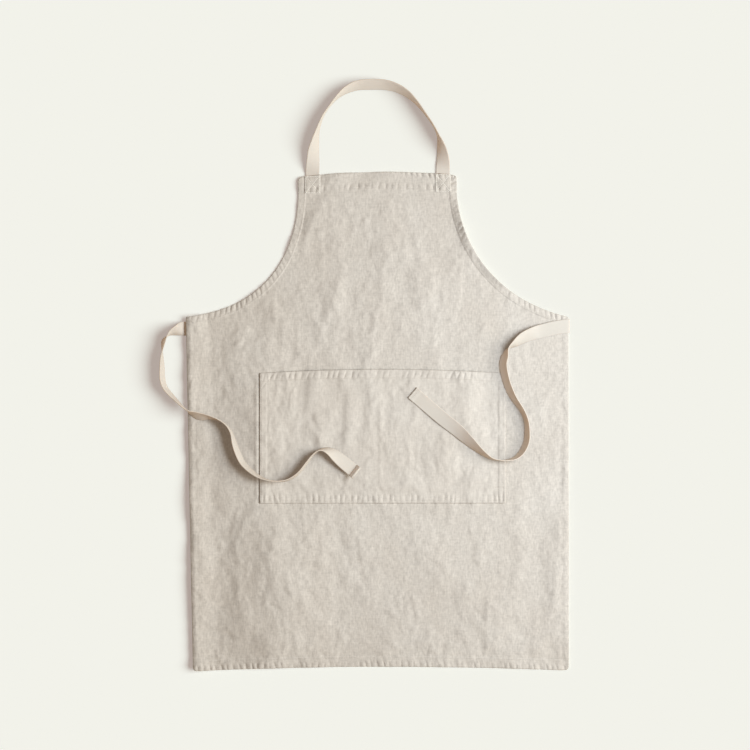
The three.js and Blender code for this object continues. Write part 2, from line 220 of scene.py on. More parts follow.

# %% [markdown]
# ## Relief of the linen
# Washed linen never lies quite flat. The big folds are the ridges that the solid has, two of them higher,
# and one broad rise beside the rolled left edge. On them lie smaller creases, each a short ridge from a
# table, and a fine crumple of noise that is longer along the warp than across it. A cloth simulation would
# give other folds than these, so they are listed one by one. The tape ends that are sewn behind the panel
# lift it, and the hem of the right armhole has turned up on its own.

# %% Folds and creases
Fold = namedtuple("Fold", "x y lean reach left right height")
FOLD_TAPER = 0.5
FOLDS = [
    Fold(-0.337, -0.120, -1.2, 0.600, 0.024, 0.042, 0.0092),
    Fold(-0.276, -0.215, -1.2, 0.430, 0.058, 0.150, 0.0042),
    Fold(-0.205, 0.010, 0, 0.190, 0.095, 0.060, 0.0060),
    Fold(-0.175, -0.300, 2, 0.185, 0.115, 0.120, 0.0108),
    Fold(0.328, -0.270, -1, 0.170, 0.040, 0.045, 0.0026),
    Fold(0.212, -0.390, 8, 0.085, 0.055, 0.075, 0.0026),
]
CREASES = [
    Fold(0.327, -0.252, 4.8, 0.125, 0.014, 0.024, 0.0014),
    Fold(0.212, -0.339, -56, 0.026, 0.006, 0.006, 0.0010),
    Fold(0.244, -0.353, -78, 0.026, 0.006, 0.006, 0.0009),
    Fold(0.171, -0.204, -19, 0.032, 0.007, 0.010, 0.0009),
    Fold(0.183, -0.245, -13, 0.028, 0.007, 0.012, 0.0011),
    Fold(0.063, -0.310, -6, 0.036, 0.006, 0.010, 0.0009),
    Fold(0.070, -0.346, -22, 0.020, 0.006, 0.008, 0.0008),
    Fold(0.199, -0.375, 0, 0.055, 0.008, 0.030, 0.0015),
    Fold(0.062, -0.404, 86, 0.030, 0.004, 0.006, 0.0008),
    Fold(0.089, -0.417, -73, 0.032, 0.004, 0.006, 0.0008),
    Fold(0.133, -0.408, -77, 0.016, 0.004, 0.006, 0.0008),
    Fold(-0.054, -0.433, -38, 0.012, 0.005, 0.005, 0.0008),
    Fold(-0.070, -0.387, -30, 0.024, 0.006, 0.010, 0.0010),
    Fold(-0.064, -0.411, 13, 0.016, 0.005, 0.008, 0.0009),
    Fold(-0.112, -0.168, -20, 0.016, 0.006, 0.012, 0.0012),
    Fold(-0.122, -0.200, 31, 0.036, 0.007, 0.014, 0.0013),
    Fold(-0.034, -0.168, -21, 0.018, 0.006, 0.009, 0.0008),
    Fold(-0.033, -0.202, 9, 0.030, 0.006, 0.010, 0.0009),
    Fold(-0.032, -0.240, -16, 0.024, 0.006, 0.009, 0.0008),
    Fold(-0.188, -0.213, 11, 0.026, 0.012, 0.020, 0.0016),
    Fold(-0.199, -0.248, 25, 0.028, 0.012, 0.020, 0.0015),
    Fold(-0.217, -0.187, 13, 0.022, 0.007, 0.012, 0.0009),
    Fold(-0.286, -0.248, -9, 0.032, 0.007, 0.012, 0.0009),
    Fold(-0.269, -0.386, -37, 0.016, 0.006, 0.009, 0.0009),
    Fold(0.102, 0.382, -15, 0.032, 0.012, 0.020, 0.0013),
    Fold(-0.094, 0.353, 70, 0.048, 0.012, 0.014, 0.0009),
    Fold(0.036, 0.151, 14, 0.062, 0.016, 0.022, 0.0016),
    Fold(-0.125, 0.357, 23, 0.050, 0.020, 0.030, 0.0026),
    Fold(0.010, 0.280, 5, 0.060, 0.030, 0.040, 0.0026),
    Fold(-0.010, 0.150, 8, 0.070, 0.020, 0.030, 0.0022),
    Fold(-0.085, 0.215, 20, 0.060, 0.025, 0.030, 0.0024),
    Fold(0.075, 0.240, -10, 0.050, 0.020, 0.030, 0.0020),
    Fold(-0.030, 0.385, -20, 0.030, 0.015, 0.020, 0.0016),
    Fold(-0.2215, -0.030, 0, 0.140, 0.0055, 0.0040, 0.0026),
]
CREASE_SPREAD = 1.5
PINCH = 2.2


def pinched(share):
    """A flank that gets steeper towards a sharp crest."""
    return np.clip(share, 0, 1) ** PINCH


def fold_height(fold, x, y, flank=ease, spread=1.0):
    """Height of a ridge with two flanks that runs out at its ends."""
    lean = math.radians(fold.lean)
    along = (y - fold.y) * math.cos(lean) + (x - fold.x) * math.sin(lean)
    across = (x - fold.x) * math.cos(lean) - (y - fold.y) * math.sin(lean)
    side = 1 - np.abs(across) / (spread * np.where(across < 0, fold.left, fold.right))
    end = 1 - np.abs(along) / fold.reach
    return fold.height * flank(side) * ease(end / FOLD_TAPER)


print(len(FOLDS), "folds and", len(CREASES), "creases")

# %% Crumple
Octave = namedtuple("Octave", "across along height")
OCTAVES = [
    Octave(0.062, 0.080, 0.00220),
    Octave(0.030, 0.042, 0.00155),
    Octave(0.014, 0.019, 0.00108),
    Octave(0.0075, 0.0095, 0.00048),
]
CRUMPLE_ROOM = 0.0006
CREASE_LINES = 0.0006
LINE_SIZE = (0.034, 0.080)
LINE_WIDTH = 0.11
BREAK_SIZE = (0.045, 0.055)
BREAK_GAIN = 1.6
DRIFT = 0.010
DRIFT_SIZE = 0.08


def crumple(x, y, seed, octaves):
    """Washed creases: noise in several sizes, and broken lines where the cloth was folded sharply."""
    drift = DRIFT * cloth_noise(x / DRIFT_SIZE, y / DRIFT_SIZE, seed)
    total = np.full_like(x, CRUMPLE_ROOM)
    for k, octave in enumerate(octaves, 1):
        bumps = cloth_noise((x + drift) / octave.across, (y - drift) / octave.along, seed + k)
        total = total + octave.height * bumps
    line = cloth_noise((x + 2 * drift) / LINE_SIZE[0], (y + drift) / LINE_SIZE[1], seed + 7)
    broken = ease(BREAK_GAIN * cloth_noise(x / BREAK_SIZE[0], y / BREAK_SIZE[1], seed + 8))
    return total + CREASE_LINES * broken * np.exp(-((line / LINE_WIDTH) ** 2))


print("crumple in", len(OCTAVES), "sizes")

# %% Underside of the panel
PANEL_SEED = 11
LOWEST = -0.0008
TAPE_THICK = 0.0012
GAP = 0.0004
STRAP_ROOM_Y = 0.414
TIE_ROOM = (0.300, 0.130)
RAISE_BLEND = 0.040
TURN_UP = 0.0056
TURN_UP_FROM = 0.235
TURN_UP_TO = 0.425
TURN_UP_BLENDS = (0.020, 0.060)


def tape_raise(x, y):
    """How far the tape ends sewn behind the panel lift it."""
    over_strap = ease(1 + (y - STRAP_ROOM_Y) / RAISE_BLEND)
    outwards = ease(1 + (np.abs(x) - TIE_ROOM[0]) / RAISE_BLEND)
    upwards = ease(1 + (y - TIE_ROOM[1]) / RAISE_BLEND)
    return (TAPE_THICK + GAP) * np.maximum(over_strap, outwards * upwards)


def turned_up(x, y):
    """How far the edge of the right armhole lifts between its ends."""
    inward, _ = near_side(x, y)
    between = ease((y - TURN_UP_FROM) / TURN_UP_BLENDS[0]) * ease((TURN_UP_TO - y) / TURN_UP_BLENDS[1])
    return TURN_UP * np.clip(1 - inward / EDGE_HEM, 0, 1) * between * (x > 0)


def panel_rise(x, y):
    """Height of the panel's underside above the floor."""
    folds = sum(fold_height(fold, x, y) for fold in FOLDS)
    creases = sum(fold_height(fold, x, y, pinched, CREASE_SPREAD) for fold in CREASES)
    free = np.maximum(folds + creases + crumple(x, y, PANEL_SEED, OCTAVES), LOWEST)
    return np.maximum(free, tape_raise(x, y)) + turned_up(x, y)


print("the hem of the right armhole turns up by", mm(TURN_UP), "mm")

# %% [markdown]
# ## Hems
# A hem is cloth turned over twice and sewn down. From the front it shows as a slightly thicker band, a
# groove where the thread pulls, and puckers, because the seam shrinks in the wash and gathers the cloth.
# Between two puckers the cloth bulges like a small pillow, which a square root of a sine wave gives, and
# noise spaces them unevenly. Along an armhole the turned cloth is cut on a curve, so it twists like rope,
# and its puckers lean.

# %% Relief of a hem
Hem = namedtuple("Hem", "width step stitch groove pitch lean pucker centre reach wave seed")
CLOTH = 0.0012
HEM_EXTRA = 0.0011
GROOVE_DEPTH = 0.0008
GROOVE_WIDTH = 0.0010
OTHER_SIDE = 3.0
HEM_NOISE_DEPTH = 0.03
PUCKER_SHIFT = 0.28
PUCKER_SHIFT_RUN = 1.7
PILLOW_MEAN = 0.76
UNEVEN_RUN = 2.6
UNEVEN_MIDDLE = 0.95
UNEVEN_RANGE = (0.3, 1.6)
WAVE_RUN = 0.045
TOP = Hem(TOP_HEM, 0.0026, 0.0290, 0.0007, 0.0125, 0.0, 0.0021, 0.0255, 0.0055, 0.0030, 21)
BOTTOM = Hem(BOTTOM_HEM, 0.0018, 0.0155, 0.0005, 0.0110, 0.1, 0.0022, 0.0035, 0.0060, 0.0006, 22)
ARMHOLE = Hem(EDGE_HEM, 0.0016, 0.0108, 0.0003, 0.0105, 0.5, 0.0024, 0.0040, 0.0062, 0.0003, 23)
SKIRT_SIDE = Hem(0.009, 0.0090, 0.0085, 0.0, 0.0200, 0.0, 0.0003, 0.0050, 0.0060, 0.0002, 24)


def hem_relief(hem, inward, along, gather=1.0):
    """Height of the doubled cloth, and what the thread and the wash add to it or take from it."""
    doubled = HEM_EXTRA * ease(0.5 + (hem.width - inward) / hem.step)
    groove = hem.groove * np.exp(-(((inward - hem.stitch) / GROOVE_WIDTH) ** 2))
    place = (along + hem.lean * inward) / hem.pitch
    shift = cloth_noise(place / PUCKER_SHIFT_RUN, inward / HEM_NOISE_DEPTH, hem.seed)
    place = place + PUCKER_SHIFT * shift
    pillow = np.sqrt(np.abs(np.sin(math.pi * place))) - PILLOW_MEAN
    uneven = cloth_noise(place / UNEVEN_RUN, np.full_like(place, 0.5), hem.seed + 10)
    strength = gather * np.clip(UNEVEN_MIDDLE + uneven, *UNEVEN_RANGE)
    fade = np.exp(-np.abs((inward - hem.centre) / hem.reach) ** 3)
    wave = hem.wave * cloth_noise(along / WAVE_RUN, inward / HEM_NOISE_DEPTH, hem.seed + 20)
    wave = wave * ease(2 - inward / hem.width)
    return doubled, hem.pucker * strength * pillow * fade + wave - groove


print("top hem", mm(TOP.width), "mm, bottom hem", mm(BOTTOM.width), "mm wide")


# %% Hems of the panel
RIGHT_GATHER_ABOVE = 0.330
RIGHT_GATHER_BELOW = 0.250
LEFT_GATHER_BELOW = 0.300
GATHER_BLEND = 0.03
LOWER_BLEND = 0.02
LEAST_GATHER = 0.2
WAIST_BLEND = 0.03


def armhole_gather(x, y):
    """Puckers gather at both ends of the right armhole and near the waist on the left one."""
    above = ease((y - RIGHT_GATHER_ABOVE) / GATHER_BLEND)
    right = np.maximum(above, ease((RIGHT_GATHER_BELOW - y) / LOWER_BLEND))
    left = ease((LEFT_GATHER_BELOW - y) / GATHER_BLEND)
    return LEAST_GATHER + (1 - LEAST_GATHER) * np.where(x > 0, right, left)


def panel_hems(x, y):
    """Height that the panel's hems add, all round."""
    inward, along = near_side(x, y)
    upwards = ease(0.5 + (along - waist_length) / WAIST_BLEND)
    along = along + OTHER_SIDE * (x > 0)
    armhole_hem = hem_relief(ARMHOLE, inward, along, armhole_gather(x, y))
    sides = zip(hem_relief(SKIRT_SIDE, inward, along), armhole_hem)
    hems = [
        [mix(skirt, armhole, upwards) for skirt, armhole in sides],
        hem_relief(TOP, top_y(x) - y, x),
        hem_relief(BOTTOM, y - bottom_y(x), x),
    ]
    doubled, pulled = zip(*hems)
    return np.maximum.reduce(doubled) + sum(pulled)


print("armholes' hems", mm(EDGE_HEM), "mm wide")

# %% [markdown]
# ## Sewn shapes
# The ends of the neck strap lie behind the top hem. Each is held by a box of stitches with a cross in it,
# and it shows through as a raised patch with the thread pressed into it. The pocket's seam pulls the panel
# down all along the pocket's edge.

# %% Seams that press the panel
Box = namedtuple("Box", "left right bottom top")
STRAP_BOXES = [Box(-0.1325, -0.1075, 0.4190, 0.4490), Box(0.1065, 0.1315, 0.4220, 0.4520)]
TAPE_PATCH = 0.0011
PATCH_STEP = 0.0014
TAPE_OUTLINE = 0.0030
POCKET = Box(-0.216, 0.233, -0.149, 0.088)
SLIT = 0.0012
SLIT_SHARE = 0.5
THINNEST = 0.0004


def box_sides(box):
    corners = [(box.left, box.bottom), (box.right, box.bottom), (box.right, box.top), (box.left, box.top)]
    return list(zip(corners, corners[1:] + corners[:1]))


def box_cross(box):
    return [((box.left, box.bottom), (box.right, box.top)), ((box.right, box.bottom), (box.left, box.top))]


def tape_outline(box):
    left = box.left - TAPE_OUTLINE
    right = box.right + TAPE_OUTLINE
    return [((left, box.bottom), (left, box.top)), ((right, box.bottom), (right, box.top))]


def pressed(x, y, lines):
    """Depth of the groove that a seam presses along straight lines."""
    depth = np.zeros_like(x)
    for start, end in lines:
        run = np.subtract(end, start)
        share = np.clip(((x - start[0]) * run[0] + (y - start[1]) * run[1]) / (run @ run), 0, 1)
        away = np.hypot(x - start[0] - share * run[0], y - start[1] - share * run[1])
        depth = np.maximum(depth, GROOVE_DEPTH * np.exp(-((away / GROOVE_WIDTH) ** 2)))
    return depth


strap_lines = [line for box in STRAP_BOXES for line in box_sides(box) + box_cross(box)]
outlines = [line for box in STRAP_BOXES for line in tape_outline(box)]


def strap_patch(x, y):
    """Raised patches over the strap ends, with their seams pressed in."""
    height = np.zeros_like(x)
    for box in STRAP_BOXES:
        inside = np.minimum.reduce([x - box.left, box.right - x, y - box.bottom]) + PATCH_STEP
        height = height + TAPE_PATCH * ease(0.5 + inside / PATCH_STEP)
    return height - pressed(x, y, strap_lines) - pressed(x, y, outlines)


slit = Box(POCKET.left - SLIT, POCKET.right + SLIT, POCKET.bottom - SLIT, POCKET.top)
pocket_slit = [line for line in box_sides(slit) if line[0][1] + line[1][1] < 2 * slit.top]
print(len(strap_lines), "lines of stitches hold the strap")


# %% Upper face of the panel
def panel_top(x, y):
    """Height of the panel's upper face."""
    top = panel_rise(x, y) + CLOTH + panel_hems(x, y) + strap_patch(x, y)
    return np.maximum(top - SLIT_SHARE * pressed(x, y, pocket_slit), THINNEST)


probe = panel_top(np.array([0.0, -0.340]), np.array([-0.2, -0.2]))
print("cloth top in the middle and at the left hem", (probe * 1000).round(2), "mm")

# %% [markdown]
# ## Cutting a sheet
# A piece of cloth is cut from its outline: points along the edge, fine points where hems and puckers are,
# and coarser points elsewhere. A Delaunay triangulation joins them into even triangles, which bend in any
# direction without the stripes that a grid of quads shows on a curved edge. Upper and lower face are cut
# from the same outline and joined by a rounded rim, so the sheet is one closed body. The inner edge of a
# hem is a step that a plain grid would smear, so it gets rows of points of its own.

# %% Triangles inside an outline
RIM_CLEARANCE = 0.6
FINE_CLEARANCE = 0.4
INSIDE_ONLY = 1
SAME_POINT = 1e-7


def hexagonal(low, high, step):
    """Points of a hexagonal grid over a box."""
    row_step = step * math.sqrt(3) / 2
    rows = np.arange(low[1], high[1], row_step)
    columns = np.arange(low[0], high[0], step)
    x, y = np.meshgrid(columns, rows)
    x = x + (np.arange(len(rows)) % 2)[:, None] * step / 2
    return np.stack([x.ravel(), y.ravel()], axis=1)


def depth_inside(points, rim):
    """Distance from each point to the rim, less than 0 outside it."""
    tree = tree_of(rim)
    nearest = np.array([tree.find((*point, 0))[1] for point in points])
    along = np.roll(rim, -1, axis=0) - np.roll(rim, 1, axis=0)
    inward = np.stack([-along[:, 1], along[:, 0]], axis=1)
    offset = points - rim[nearest]
    facing = np.sum(offset * inward[nearest], axis=1)
    return np.linalg.norm(offset, axis=1) * np.sign(facing)


def distance(points, others):
    """Distance from each point to the nearest of the others."""
    tree = tree_of(others)
    return np.array([tree.find((*point, 0))[2] for point in points])


def cut(rim, fine, coarse, hem_depth, rows=()):
    """Points and triangles of a flat piece: its rim first, then fine points to the hems' depth.

    Extra rows of points take the place of the fine points beside them.
    """
    low = rim.min(axis=0)
    high = rim.max(axis=0)
    close = hexagonal(low, high, fine)
    depth = depth_inside(close, rim)
    close = close[(depth > fine * RIM_CLEARANCE) & (depth < hem_depth(*close.T))]
    if len(rows):
        close = np.concatenate([close[distance(close, rows) > fine * RIM_CLEARANCE], rows])
    wide = hexagonal(low, high, coarse)
    wide = wide[depth_inside(wide, rim) > hem_depth(*wide.T) + coarse * FINE_CLEARANCE]
    points = np.concatenate([rim, close, wide])
    edges = [(i, (i + 1) % len(rim)) for i in range(len(rim))]
    inside = [list(range(len(rim)))]
    made = geometry.delaunay_2d_cdt([Vector(p) for p in points], edges, inside, INSIDE_ONLY, SAME_POINT)
    origin = np.array([found[0] for found in made[3]])
    return points, origin[np.array(made[2])]


print("points stay", RIM_CLEARANCE, "of a step away from the rim")


# %% Closed sheets
RIM_BULGE = 0.25


def add_object(name, data):
    """A new object in the scene."""
    made = bpy.data.objects.new(name, data)
    bpy.context.scene.collection.objects.link(made)
    return made


def mesh_object(name, points, faces):
    mesh = bpy.data.meshes.new(name)
    mesh.from_pydata(points.tolist(), [], faces)
    mesh.shade_smooth()
    return add_object(name, mesh)


def sheet_object(name, rim, upper, lower):
    """A closed sheet. upper and lower are each (points with height, triangles), rim points first."""
    (top, top_faces), (under, under_faces) = upper, lower
    count = len(rim)
    outward = np.roll(rim, 1, axis=0) - np.roll(rim, -1, axis=0)
    outward = np.stack([-outward[:, 1], outward[:, 0]], axis=1)
    outward /= np.linalg.norm(outward, axis=1)[:, None]
    thick = top[:count, 2] - under[:count, 2]
    middle = (top[:count] + under[:count]) / 2
    middle[:, :2] += outward * thick[:, None] * RIM_BULGE
    here = np.arange(count)
    after = np.roll(here, -1)
    low = here + len(top)
    low_after = after + len(top)
    mid = here + len(top) + len(under)
    mid_after = after + len(top) + len(under)
    rims = [
        np.stack([low, low_after, mid_after, mid], axis=1),
        np.stack([mid, mid_after, after, here], axis=1),
    ]
    faces = top_faces.tolist() + (under_faces[:, ::-1] + len(top)).tolist()
    faces += np.concatenate(rims).tolist()
    return mesh_object(name, np.concatenate([top, under, middle]), faces)


def report(made):
    """Prints a piece's triangles and its volume, which is above 0 when its faces look outwards."""
    mesh = made.data
    mesh.calc_loop_triangles()
    corners = np.zeros(len(mesh.loop_triangles) * 3, dtype=np.int32)
    mesh.loop_triangles.foreach_get("vertices", corners)
    points = np.zeros(len(mesh.vertices) * 3)
    mesh.vertices.foreach_get("co", points)
    a, b, c = np.moveaxis(points.reshape(-1, 3)[corners.reshape(-1, 3)], 1, 0)
    volume = np.sum(a * np.cross(b, c)) / 6
    print(made.name, len(a), "triangles,", round(volume * 1e6, 1), "cubic centimetres")


# %% Panel
PANEL_FINE = 0.0015
PANEL_COARSE = 0.0034
PANEL_RIM = 0.0017
BACK_FINE = 0.0060
BACK_COARSE = 0.0100
BIB_Y = 0.400
BIB_BAND = 0.040
FOOT_Y = -0.420
FOOT_BAND = 0.026
SIDE_BAND = 0.017
EVERYWHERE = 1.0
LEAST_PRESSED = 0.01
ARMHOLE_START = 0.010
ARMHOLE_TRIM = 12
HEM_ENDS = (-0.326, 0.336)
STEP_ROWS = (-0.0018, -0.0009, 0.0, 0.0009, 0.0018)


def panel_detail(x, y):
    """Depth of the finely cut band along the edges, without end where the pocket's seam is."""
    hems = np.where(y > BIB_Y, BIB_BAND, np.where(y < FOOT_Y, FOOT_BAND, SIDE_BAND))
    return np.where(pressed(x, y, pocket_slit) > LEAST_PRESSED * GROOVE_DEPTH, EVERYWHERE, hems)


def inside_line(line, direction, depth):
    """An edge moved inwards by a depth."""
    return line + edge_frame(line, direction)[1] * depth


armhole_from = waist_length + ARMHOLE_START
left_armhole = left_line[side_length[: len(left_line)] > armhole_from][:-ARMHOLE_TRIM]
right_armhole = right_line[side_length[len(left_line) :] > armhole_from][:-ARMHOLE_TRIM]
hem_x = np.linspace(*HEM_ENDS, LINE_POINTS)
hem_steps = []
for offset in STEP_ROWS:
    hem_steps += [
        spaced(inside_line(left_armhole, -1, EDGE_HEM + offset), PANEL_FINE),
        spaced(inside_line(right_armhole, 1, EDGE_HEM + offset), PANEL_FINE),
        spaced(np.column_stack([hem_x, bottom_y(hem_x) + BOTTOM_HEM + offset]), PANEL_FINE),
    ]
panel_rim = spaced(np.concatenate([panel_outline, panel_outline[:1]]), PANEL_RIM)[:-1]
flat, faces = cut(panel_rim, PANEL_FINE, PANEL_COARSE, panel_detail, np.concatenate(hem_steps))
panel_face = np.column_stack([flat, panel_top(*flat.T)])
back_flat, back_faces = cut(panel_rim, BACK_FINE, BACK_COARSE, panel_detail)
panel_back = np.column_stack([back_flat, np.maximum(panel_rise(*back_flat.T), 0)])
panel = sheet_object("panel_linen", panel_rim, (panel_face, faces), (panel_back, back_faces))
report(panel)

# %% [markdown]
# ## The pocket
# The pocket is one wide patch, sewn down at its sides and bottom and open at the top. It lies on the panel
# and lifts off it a little in the middle. Its top edge has a narrow hem, and its sides and bottom are
# turned in under it, so they show as bands. The corners take the strain of a full pocket, so they are sewn
# twice: a slanting row at the top and a small box at the bottom.

# %% Shape of the pocket
POCKET_MIDDLE = (POCKET.left + POCKET.right) / 2
POCKET_HALF = (POCKET.right - POCKET.left) / 2
POCKET_ROOM = 0.0028
POCKET_RISE = 0.065
POCKET_SEAM = 0.009
FREE_AFTER = 0.25
POCKET_SEED = 41
POCKET_SIZES = 2
MOUTH = Hem(0.016, 0.0026, 0.0150, 0.0006, 0.0115, 0.3, 0.0016, 0.0080, 0.0065, 0.0003, 31)
POCKET_FOOT = Hem(0.010, 0.0026, 0.0035, 0.0006, 0.0100, 0.0, 0.0015, 0.0080, 0.0075, 0.0003, 32)
POCKET_SIDE = Hem(0.013, 0.0030, 0.0125, 0.0005, 0.0200, 0.0, 0.0002, 0.0090, 0.0080, 0.0002, 33)
CORNER_BOX = Box(0.210, 0.229, -0.146, -0.121)
CORNER_SLANT = ((-0.212, 0.062), (-0.192, 0.086))
POCKET_CREASES = [
    Fold(-0.124, 0.049, 4, 0.045, 0.014, 0.030, 0.0022),
    Fold(-0.108, -0.017, -8, 0.040, 0.012, 0.030, 0.0020),
    Fold(-0.056, 0.000, 3, 0.065, 0.012, 0.030, 0.0022),
    Fold(0.0045, -0.050, 0, 0.100, 0.006, 0.006, 0.0006),
    Fold(0.120, -0.060, 5, 0.060, 0.020, 0.030, 0.0019),
]
pocket_lines = [*box_sides(CORNER_BOX), CORNER_SLANT]


def mouth_y(x):
    """Height of the pocket's upper edge."""
    return POCKET.top + BOW * (1 - ((x - POCKET_MIDDLE) / POCKET_HALF) ** 2)


def pocket_rise(x, y):
    """Height of the pocket's underside."""
    from_side = POCKET_HALF - np.abs(x - POCKET_MIDDLE)
    from_bottom = y - POCKET.bottom
    lift = ease((from_side - POCKET_SEAM) / POCKET_RISE) * ease((from_bottom - POCKET_SEAM) / POCKET_RISE)
    creases = sum(fold_height(fold, x, y) for fold in POCKET_CREASES)
    own = crumple(x, y, POCKET_SEED, OCTAVES[:POCKET_SIZES]) + creases
    return panel_top(x, y) + GAP + POCKET_ROOM * lift + own * ease(lift / FREE_AFTER)


def pocket_top(x, y):
    """Height of the pocket's upper face."""
    from_side = POCKET_HALF - np.abs(x - POCKET_MIDDLE)
    hems = [
        hem_relief(MOUTH, mouth_y(x) - y, x),
        hem_relief(POCKET_FOOT, y - POCKET.bottom, x),
        hem_relief(POCKET_SIDE, from_side, y + OTHER_SIDE * (x > 0)),
    ]
    doubled, pulled = zip(*hems)
    return pocket_rise(x, y) + CLOTH + np.maximum.reduce(doubled) + sum(pulled) - pressed(x, y, pocket_lines)


print("the pocket stands up to", mm(POCKET_ROOM), "mm off the panel, apart from its creases")


# %% Pocket
POCKET_FINE = 0.0014
POCKET_COARSE = 0.0024
POCKET_RIM = 0.0016
POCKET_BACK_FINE = 0.0050
POCKET_BACK_COARSE = 0.0080
POCKET_BAND = 0.022


def pocket_detail(x, y):
    """Depth of the finely cut band along the pocket's edges."""
    return np.full_like(x, POCKET_BAND)


pocket_x = np.linspace(POCKET.left, POCKET.right, LINE_POINTS)
pocket_outline = np.concatenate(
    [
        np.column_stack([pocket_x, np.full(LINE_POINTS, POCKET.bottom)]),
        np.column_stack([pocket_x, mouth_y(pocket_x)])[::-1],
    ]
)
pocket_rim = spaced(np.concatenate([pocket_outline, pocket_outline[:1]]), POCKET_RIM)[:-1]
flat, faces = cut(pocket_rim, POCKET_FINE, POCKET_COARSE, pocket_detail)
pocket_face = np.column_stack([flat, pocket_top(*flat.T)])
back_flat, back_faces = cut(pocket_rim, POCKET_BACK_FINE, POCKET_BACK_COARSE, pocket_detail)
pocket_back = np.column_stack([back_flat, pocket_rise(*back_flat.T)])
pocket = sheet_object("pocket_linen", pocket_rim, (pocket_face, faces), (pocket_back, back_faces))
report(pocket)

# %% [markdown]
# ## Cotton tape
# Strap and ties are the same woven tape. A tape bends easily across its flat side and hardly at all across
# its width, so where it turns a corner it stands on edge. Each route is a given list of sections:
# the place of its middle, and how far it is rolled over. A smooth curve joins them, and the height comes
# from whatever lies below, so that the tape rests on its lower edge.

# %% Routes of the tapes
Section = namedtuple("Section", "x y roll")
NECK_STRAP = [
    Section(-0.120, 0.419, 0), Section(-0.120, 0.452, 0), Section(-0.120, 0.461, -6),
    Section(-0.119, 0.476, -22), Section(-0.118, 0.494, -37), Section(-0.115, 0.512, -58),
    Section(-0.110, 0.534, -78), Section(-0.101, 0.558, -87), Section(-0.088, 0.578, -89),
    Section(-0.073, 0.595, -80), Section(-0.057, 0.607, -65), Section(-0.037, 0.615, -52),
    Section(-0.011, 0.617, -46), Section(0.013, 0.616, -49), Section(0.035, 0.610, -58),
    Section(0.054, 0.599, -67), Section(0.071, 0.583, -79), Section(0.086, 0.564, -86),
    Section(0.100, 0.544, -88), Section(0.110, 0.524, -83), Section(0.116, 0.503, -56),
    Section(0.119, 0.480, -26), Section(0.119, 0.465, -6), Section(0.119, 0.456, 0),
    Section(0.119, 0.422, 0),
]
LEFT_TIE = [
    Section(-0.320, 0.170, 0), Section(-0.352, 0.170, 0), Section(-0.357, 0.170, 8),
    Section(-0.366, 0.167, 42), Section(-0.377, 0.163, 68), Section(-0.386, 0.156, 93),
    Section(-0.392, 0.147, 108), Section(-0.394, 0.135, 100), Section(-0.395, 0.120, 85),
    Section(-0.395, 0.100, 75), Section(-0.394, 0.077, 72), Section(-0.388, 0.060, 74),
    Section(-0.371, 0.041, 80), Section(-0.351, 0.022, 91), Section(-0.335, 0.013, 115),
    Section(-0.322, 0.009, 119), Section(-0.309, 0.008, 106), Section(-0.294, 0.004, 96),
    Section(-0.278, -0.006, 90), Section(-0.268, -0.020, 84), Section(-0.262, -0.041, 74),
    Section(-0.256, -0.057, 70), Section(-0.247, -0.075, 71), Section(-0.231, -0.091, 76),
    Section(-0.214, -0.102, 84), Section(-0.195, -0.108, 91), Section(-0.178, -0.109, 94),
    Section(-0.161, -0.105, 96), Section(-0.144, -0.093, 97), Section(-0.131, -0.077, 97),
    Section(-0.120, -0.063, 96), Section(-0.110, -0.054, 92), Section(-0.100, -0.051, 80),
    Section(-0.087, -0.055, 57), Section(-0.075, -0.064, 36), Section(-0.060, -0.077, 24),
    Section(-0.0355, -0.0968, 18),
]
RIGHT_TIE = [
    Section(0.340, 0.174, 0), Section(0.322, 0.171, 3), Section(0.298, 0.165, 10),
    Section(0.281, 0.160, 28), Section(0.265, 0.153, 42), Section(0.251, 0.143, 62),
    Section(0.238, 0.134, 90), Section(0.232, 0.120, 116), Section(0.229, 0.106, 118),
    Section(0.231, 0.088, 118), Section(0.237, 0.067, 117), Section(0.248, 0.043, 113),
    Section(0.263, 0.021, 106), Section(0.271, 0.002, 105), Section(0.273, -0.019, 109),
    Section(0.271, -0.038, 111), Section(0.263, -0.055, 109), Section(0.251, -0.066, 101),
    Section(0.237, -0.070, 92), Section(0.222, -0.070, 88), Section(0.208, -0.067, 83),
    Section(0.196, -0.060, 74), Section(0.183, -0.050, 62), Section(0.163, -0.032, 41),
    Section(0.143, -0.014, 21), Section(0.113, 0.010, 8), Section(0.063, 0.053, 2),
]
print(len(NECK_STRAP), len(LEFT_TIE), len(RIGHT_TIE), "sections")


# %% What lies under a tape
TIE_LIFT = 0.0022
TIE_SLOPE = 0.022


def bare_floor(x, y):
    return np.full(len(x), -GAP)


def cloth_top(x, y):
    """Top of the pocket, the panel or the floor."""
    inward, _ = near_side(x, y)
    on_pocket = (np.abs(x - POCKET_MIDDLE) < POCKET_HALF) & (y > POCKET.bottom) & (y < mouth_y(x))
    under = np.where(inward > 0, panel_top(x, y), -GAP)
    return np.where(on_pocket, pocket_top(x, y), under)


def left_tie_support(x, y):
    """The left tie starts behind the rolled edge, slopes down beside it and comes up over it lower down."""
    outside = -LEFT_SIDE.waist[0] - x
    sewn = -GAP + TIE_LIFT * ease(1 - outside / TIE_SLOPE)
    return np.where(y > TIE_ROOM[1] - RAISE_BLEND, sewn, cloth_top(x, y))


print("the left tie starts", mm(TIE_LIFT), "mm up")


# %% Sections along a tape
TAPE_WIDTH = 0.025
TAPE_STEP = 0.0018
REST_WINDOW = 9
FEET = (-0.5, -0.25, 0, 0.25, 0.5)


